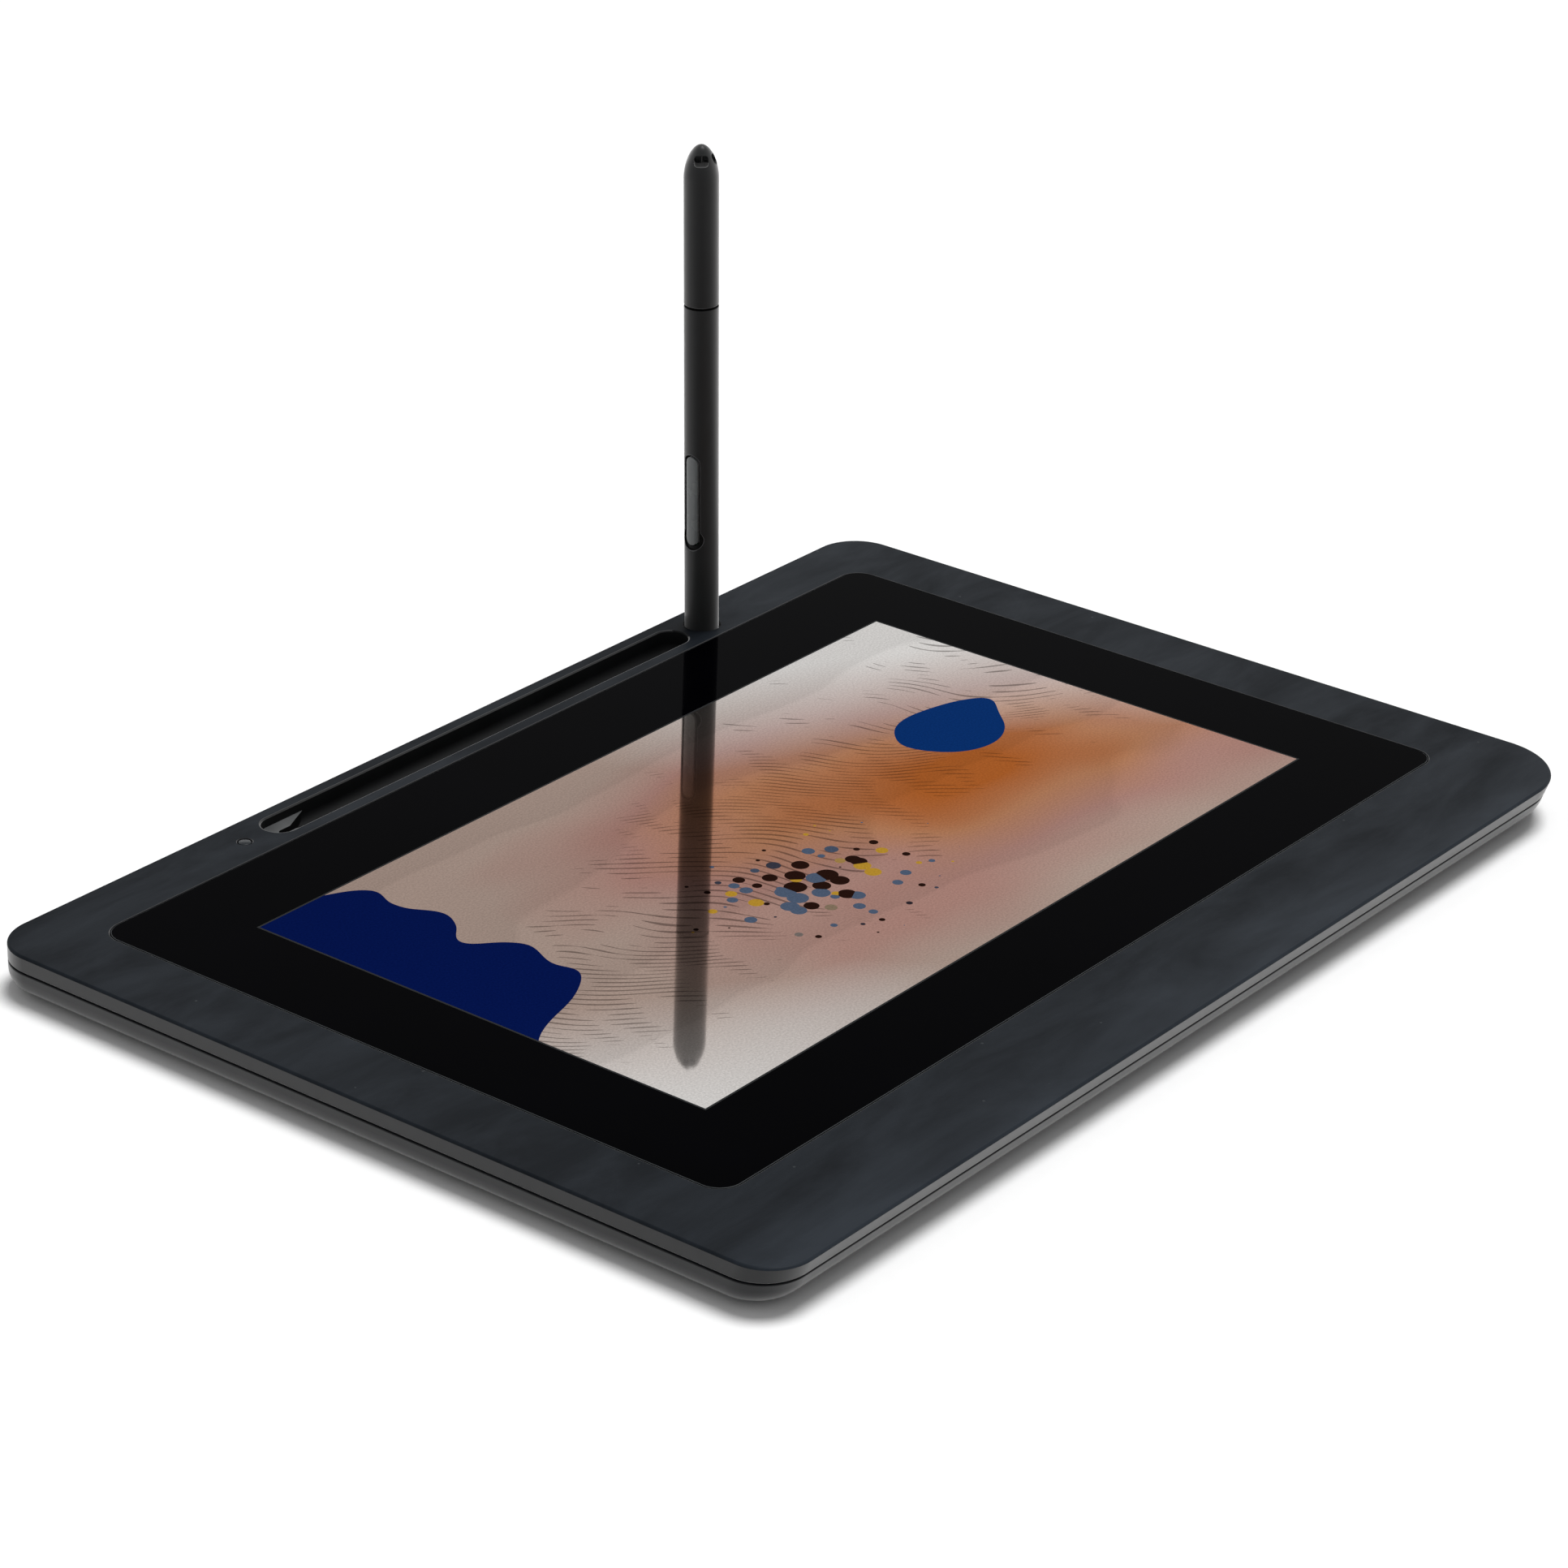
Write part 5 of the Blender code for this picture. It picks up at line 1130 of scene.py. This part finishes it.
def barrel_form():
    """Barrel with the nose, the switch channel, the scoop and the slot."""
    pen = settings().pen
    profile = []
    for step in range(17):
        share = step / 16
        wide = NOSE_R + (pen.radius - NOSE_R) * math.sin(math.pi / 2 * share)
        profile.append((wide, NOSE_START + (NOSE_END - NOSE_START) * share))
    end = pen.joint - pen.gap / 2
    profile += [(pen.radius, end - SOFT), (pen.radius - 0.4 * SOFT, end - 0.4 * SOFT),
                (pen.radius - SOFT, end),
                (BORE_R, end), (BORE_R, 8.0 * MM), (1.1 * MM, 5.0 * MM), (1.1 * MM, NOSE_START)]
    barrel = turned("pen_barrel_body", profile, 128, True)
    far = pen.radius + OVER

    def recess(grow, depth):
        """The switch's channel with its scoop, down to a depth below the skin."""
        reach, scoop_r = 0.6 * MM + grow, 3.0 * MM + grow
        tool = pen_tool("channel", KEY_LOW - reach, KEY_HIGH + reach, KEY_W + 1.3 * MM + 2 * grow, 0.0, far)
        scoop = pen_tool("scoop", PRESS_AT - scoop_r, PRESS_AT + scoop_r + WELD, 2 * scoop_r, 0.0, far)
        core = turned("core", rod(pen.radius - depth, 20 * MM, 60 * MM), 128)
        return combine(combine(tool, "UNION", scoop), "DIFFERENCE", core)

    edge, channel = recess(1.5 * CHANNEL_EDGE, CHANNEL_EDGE), recess(0.0, 0.45 * MM)
    slot = pen_tool("slot", KEY_LOW - FIT, KEY_HIGH + FIT, KEY_W + 2 * FIT, 0.8 * MM, far)
    return combine(barrel, "DIFFERENCE", edge, channel, slot)


def cap_form():
    """Cap with its domed end and the slot for a tether."""
    pen = settings().pen
    start = pen.joint + pen.gap / 2
    inner = pen.joint + PLUG_HALF + FIT
    profile = [(0.0, inner), (BORE_R, inner), (BORE_R, start), (pen.radius - SOFT, start),
               (pen.radius - 0.4 * SOFT, start + 0.4 * SOFT), (pen.radius, start + SOFT)]
    # The dome's two powers set how blunt it is
    for step in range(28):
        share = 1 - 0.985 * math.sin(math.pi / 2 * step / 27)
        profile.append((pen.radius * (1 - (1 - share) ** 1.8) ** 0.52, pen.reach - DOME * share))
    profile.append((0.0, pen.reach))
    cap = turned("pen_cap_body", profile, 128)
    height = pen.reach - 3.4 * MM
    levels = [(0.0, 0.0), (pen.radius - 0.55 * MM, 0.0), (pen.radius + 0.1 * MM, 0.35 * MM),
              (pen.radius + OVER, 0.5 * MM)]
    for width, degrees in ((3.4, 219.0), (2.3, 297.0)):
        window = plate("tether_window", width * MM, 2.6 * MM, 0.8 * MM, levels)
        turn = Matrix.Rotation(math.radians(degrees + 90.0), 4, "Z") @ Matrix.Rotation(math.pi / 2, 4, "X")
        combine(cap, "DIFFERENCE", move(window, shift(0.0, 0.0, height) @ turn))
    return cap


def switch_form():
    """Side switch: a long key that follows the barrel's round, with its lug and its pusher."""
    pen = settings().pen
    outer = pen.radius - 0.15 * MM
    inner = outer - 1.2 * MM
    key = pen_tool("switch_key", KEY_LOW, KEY_HIGH, KEY_W, inner, pen.radius + OVER)
    combine(key, "INTERSECT", turned("key_round", rod(outer, KEY_LOW - OVER, KEY_HIGH + OVER), 128))
    soften = key.modifiers.new("broken_edges", "BEVEL")
    soften.width = 0.2 * MM
    soften.segments = 3
    soften.limit_method = "ANGLE"
    soften.angle_limit = math.radians(50.0)
    bake(key)
    rooted, foot, face = inner + ROOT, 0.8 * MM, 2.62 * MM
    lug = [((-(foot + rooted) / 2, 0.0, KEY_HIGH - 1.7 * MM), (rooted - foot, KEY_W / 2, 1.4 * MM))]
    boss = [((-(face + rooted) / 2, 0.0, PRESS_AT), (rooted - face, 1.8 * MM, 1.8 * MM))]
    return combine(key, "UNION", boxes("lug", lug), boxes("boss", boss))


class MakePen(bpy.types.Operator):
    """Make the pen's barrel, cap, joint plug, side switch and nib"""
    bl_idname = "pen_display.make_pen"
    bl_label = "Pen"

    def execute(self, context):
        pen = settings().pen
        # ABS below the pen's skin: black and without the sheen, painted shade in the switch's channel, the
        # slot and the joint
        recess_shade = moulded("ABS, pen body below the skin", linear("060707"), 0.5, 0.1, 0.3 * MM, 0.01 * MM,
                         4 * MM, 0.2)
        # ABS, a thin pale line along the channel: a painted highlight on its edge
        rubbed = moulded("ABS, rubbed edge of the channel", linear("5a5c5e"), 0.35, 0.3, 0.3 * MM, 0.01 * MM,
                         4 * MM, 0.2, 0.5)
        finishes = [pen_material(), recess_shade, rubbed]
        place_on_pen(barrel_form(), "pen", finishes, ["pen_barrel"], pen_finish)
        place_on_pen(cap_form(), "pen", finishes, ["pen_cap"], pen_finish)
        place_on_pen(switch_form(), "pen_key", [key_material()], ["side_switch"])
        start, end = pen.joint - PLUG_HALF, pen.joint + PLUG_HALF
        thick, slant = BORE_R - FIT, 0.5 * MM
        plug = turned("joint_plug", [(0.0, start), (thick - slant, start), (thick, start + slant),
                                     (thick, end - slant), (thick - slant, end), (0.0, end)])
        place_on_pen(plug, "pen", [dark_plug_material()], ["pen_plug"])
        nib_low, nib_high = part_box("nib")
        tall = (nib_high.z - nib_low.z) / math.cos(pen.lean) - 0.02 * MM
        radius = 0.8 * MM
        profile = [(radius * (1 - aside), radius * up) for aside, up in arc(12)]
        profile += [(radius, tall), (0.0, tall)]
        # Acetal, turned: a dark grey tip that is worn shiny
        tip = moulded("Acetal, turned nib", linear("2c2d2e"), 0.35, 0.5, 0.2 * MM, 0.01 * MM, 2 * MM)
        place_on_pen(turned("nib_pin", profile, 48), "pen_nib", [tip], ["nib"])
        return {"FINISHED"}


# ---------------------------------------------------------------- what keeps its plain form

class FinishInside(bpy.types.Operator):
    """Give the layers under the glass, the boards and what is inside the pen their materials"""
    bl_idname = "pen_display.finish_inside"
    bl_label = "Layers, boards and pen parts"

    def execute(self, context):
        board_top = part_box("main_board")[0].z + 1.02 * MM
        finishes = {
            # Foam, cut from sheet: open cells 0.3 mm across
            "glass_gasket": cell_material("Foam, die-cut", "1c1c1d", 0.3 * MM, 0.1 * MM, 0.85),
            # Liquid crystal cell, laminated: near black with a polished face when it is off
            "lcd_panel": moulded("Liquid crystal cell, laminated", linear("15181c"), 0.15, 0.5, 0.5 * MM,
                                 0.005 * MM, 40 * MM),
            # Acrylic light guide with printed dots, 0.8 mm apart
            "backlight": cell_material("Acrylic, dotted light guide", "dfe2df", 0.8 * MM, 0.05 * MM, 0.3),
            # Polyimide, etched: an amber film whose copper loops show as stripes 4 mm apart
            "digitizer_sheet": film_material("Polyimide film, etched loops", "8a5a1e", "c98d4c", 4 * MM),
            # Steel, cold rolled: pale grey with rolling lines from side to side
            "shield_plate": steel_material("Steel sheet, cold rolled", "a4a6a8", 0.35, (1.0, 12.0, 1.0),
                                           20 * MM),
            # Polycarbonate, moulded: the white frame that holds the panel
            "panel_frame": moulded("Polycarbonate, white frame", linear("d6d6d2"), 0.45, 0.5, 0.4 * MM,
                                   0.02 * MM),
            # Fibreglass board, masked: green with its tracks, and black epoxy parts from board_top up
            "main_board": board_material("Fibreglass board, green mask", board_top),
            # Polyimide, laminated: a flat amber cable whose conductors show 1 mm apart
            "panel_cable": film_material("Polyimide cable, flat", "9c6a2a", "d39a58", 1 * MM),
            # Nylon, moulded: the push switch's black body
            "power_switch": moulded("Nylon, switch body", linear("1c1c1e"), 0.45, 0.5, 0.3 * MM, 0.02 * MM,
                                    3 * MM),
            # Enamelled copper, wound: the one warm red metal in the pen
            "resonator_coil": coil_material(),
            # Stainless steel, turned: a bright can with faint rings
            "pressure_sensor": steel_material("Stainless steel, sensor can", "b4b6b8", 0.3, (1.0, 1.0, 6.0),
                                              2 * MM),
            # Fibreglass board, masked: green with its tracks, and no epoxy parts on it
            "pen_board": board_material("Fibreglass board, pen", 1.0),
            # Glass-filled nylon, moulded: pale, with fibres that show as streaks
            "pen_carrier": moulded("Glass-filled nylon, carrier", linear("8d8c86"), 0.5, 0.4, 0.4 * MM,
                                   0.03 * MM, 3 * MM),
            # Steel, stamped: the plain grey cover of the small switch
            "pen_tact_switch": steel_material("Steel cover, tact switch", "9a9b9c", 0.35, (1.0, 1.0, 1.0),
                                              1 * MM),
        }
        for node, material in finishes.items():
            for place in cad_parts[node].material_slots:
                place.material = material
        return {"FINISHED"}


# ---------------------------------------------------------------- stage

class MakeStage(bpy.types.Operator):
    """Set up the floor, the lamps, the world and the camera"""
    bl_idname = "pen_display.make_stage"
    bl_label = "Stage"

    def execute(self, context):
        stage = settings().stage
        scene = context.scene
        half = stage.floor_side / 2
        shape = bmesh.new()
        corners = ((-half, -half), (half, -half), (half, half), (-half, half))
        shape.faces.new([shape.verts.new((x, y, 0.0)) for x, y in corners])
        floor = mesh_object("floor", shape)
        # Paper, calendered: a plain white sweep with a faint cloud of fibres
        white = tuple(stage.floor_colour)
        material, tree, shader, place = new_material("Paper sweep", white, 0.9, specular=0.0)
        fibres = add(tree, "TexNoise", {"Vector": place, "Scale": 1.0 / (4 * MM), "Detail": 3.0})
        paper = stops(add(tree, "ValToRGB", {"Fac": fibres}), (0.2, 0.98), (0.8, 1.0))
        feed(tree, shader, {"Base Color": paper})
        floor.data.materials.append(material)

        lamp_data = bpy.data.lights.new("overhead", "SUN")
        lamp_data.energy = stage.overhead
        lamp_data.angle = stage.overhead_spread
        lamp = bpy.data.objects.new("overhead", lamp_data)
        lamp.location = stage.overhead_from
        lamp.rotation_euler = Vector(stage.overhead_from).to_track_quat("Z", "Y").to_euler()
        scene.collection.objects.link(lamp)

        world = bpy.data.worlds.new("room")
        world.use_nodes = True
        scene.world = world
        room = world.node_tree
        path = add(room, "LightPath")
        seen = add(room, "Math", {0: path.outputs["Is Camera Ray"], 1: path.outputs["Is Glossy Ray"]},
                   operation="MAXIMUM")
        seen = add(room, "Math", {0: seen, 1: path.outputs["Is Transmission Ray"]}, operation="MAXIMUM")
        # The white backdrop ends at a third of the height, and what is above it is darker in a mirror
        up = add(room, "SeparateXYZ", {0: add(room, "TexCoord").outputs["Generated"]}).outputs[2]
        backdrop = add(room, "MapRange", {"Value": up, "From Min": 0.36, "From Max": 0.56, "To Min": 1.0,
                                          "To Max": stage.upper})
        level = add(room, "MapRange", {"Value": seen, "To Min": stage.fill, "To Max": backdrop})
        feed(room, room.nodes["Background"], {"Color": (1.0, 1.0, 1.0), "Strength": level})

        camera_data = bpy.data.cameras.new("camera")
        camera_data.sensor_width = 36.0
        camera_data.lens = stage.lens
        camera_data.clip_start, camera_data.clip_end = 0.01, 100.0
        camera = bpy.data.objects.new("camera", camera_data)
        camera.location = stage.camera_place
        camera.rotation_euler = stage.camera_turn
        scene.collection.objects.link(camera)
        scene.camera = camera
        scene.view_settings.view_transform = "Standard"
        return {"FINISHED"}


class PenDisplayPanel(bpy.types.Panel):
    """Lists the pen display's pieces and sizes"""
    bl_idname = "VIEW3D_PT_pen_display"
    bl_label = "Pen display"
    bl_space_type = "VIEW_3D"
    bl_region_type = "UI"
    bl_category = "Pen display"

    def draw(self, context):
        layout = self.layout
        for made in OPERATORS:
            layout.operator(made.bl_idname)
        chosen = context.scene.pen_display
        layout.prop(chosen, "corner_steps")
        for group in (chosen.housing, chosen.screen, chosen.pen, chosen.stage):
            box = layout.box()
            for key in group.__annotations__:
                box.prop(group, key)


OPERATORS = (MakeStage, MakeShells, MakeGlass, MakeStatusLight, MakeBackFittings, MakeScrews, MakeFeet,
             MakePen, FinishInside)
CLASSES = (HousingSizes, ScreenSizes, PenSizes, StageSizes, PenDisplaySettings, *OPERATORS, PenDisplayPanel)


def register():
    for made in CLASSES:
        bpy.utils.register_class(made)
    bpy.types.Scene.pen_display = PointerProperty(type=PenDisplaySettings)


def unregister():
    del bpy.types.Scene.pen_display
    for made in reversed(CLASSES):
        bpy.utils.unregister_class(made)


def main():
    """Make everything in order."""
    register()
    bpy.ops.pen_display.make_stage()
    bpy.ops.pen_display.make_shells()
    bpy.ops.pen_display.make_glass()
    bpy.ops.pen_display.make_status_light()
    bpy.ops.pen_display.make_back_fittings()
    bpy.ops.pen_display.make_screws()
    bpy.ops.pen_display.make_feet()
    bpy.ops.pen_display.make_pen()
    bpy.ops.pen_display.finish_inside()


if __name__ == "__main__":
    main()
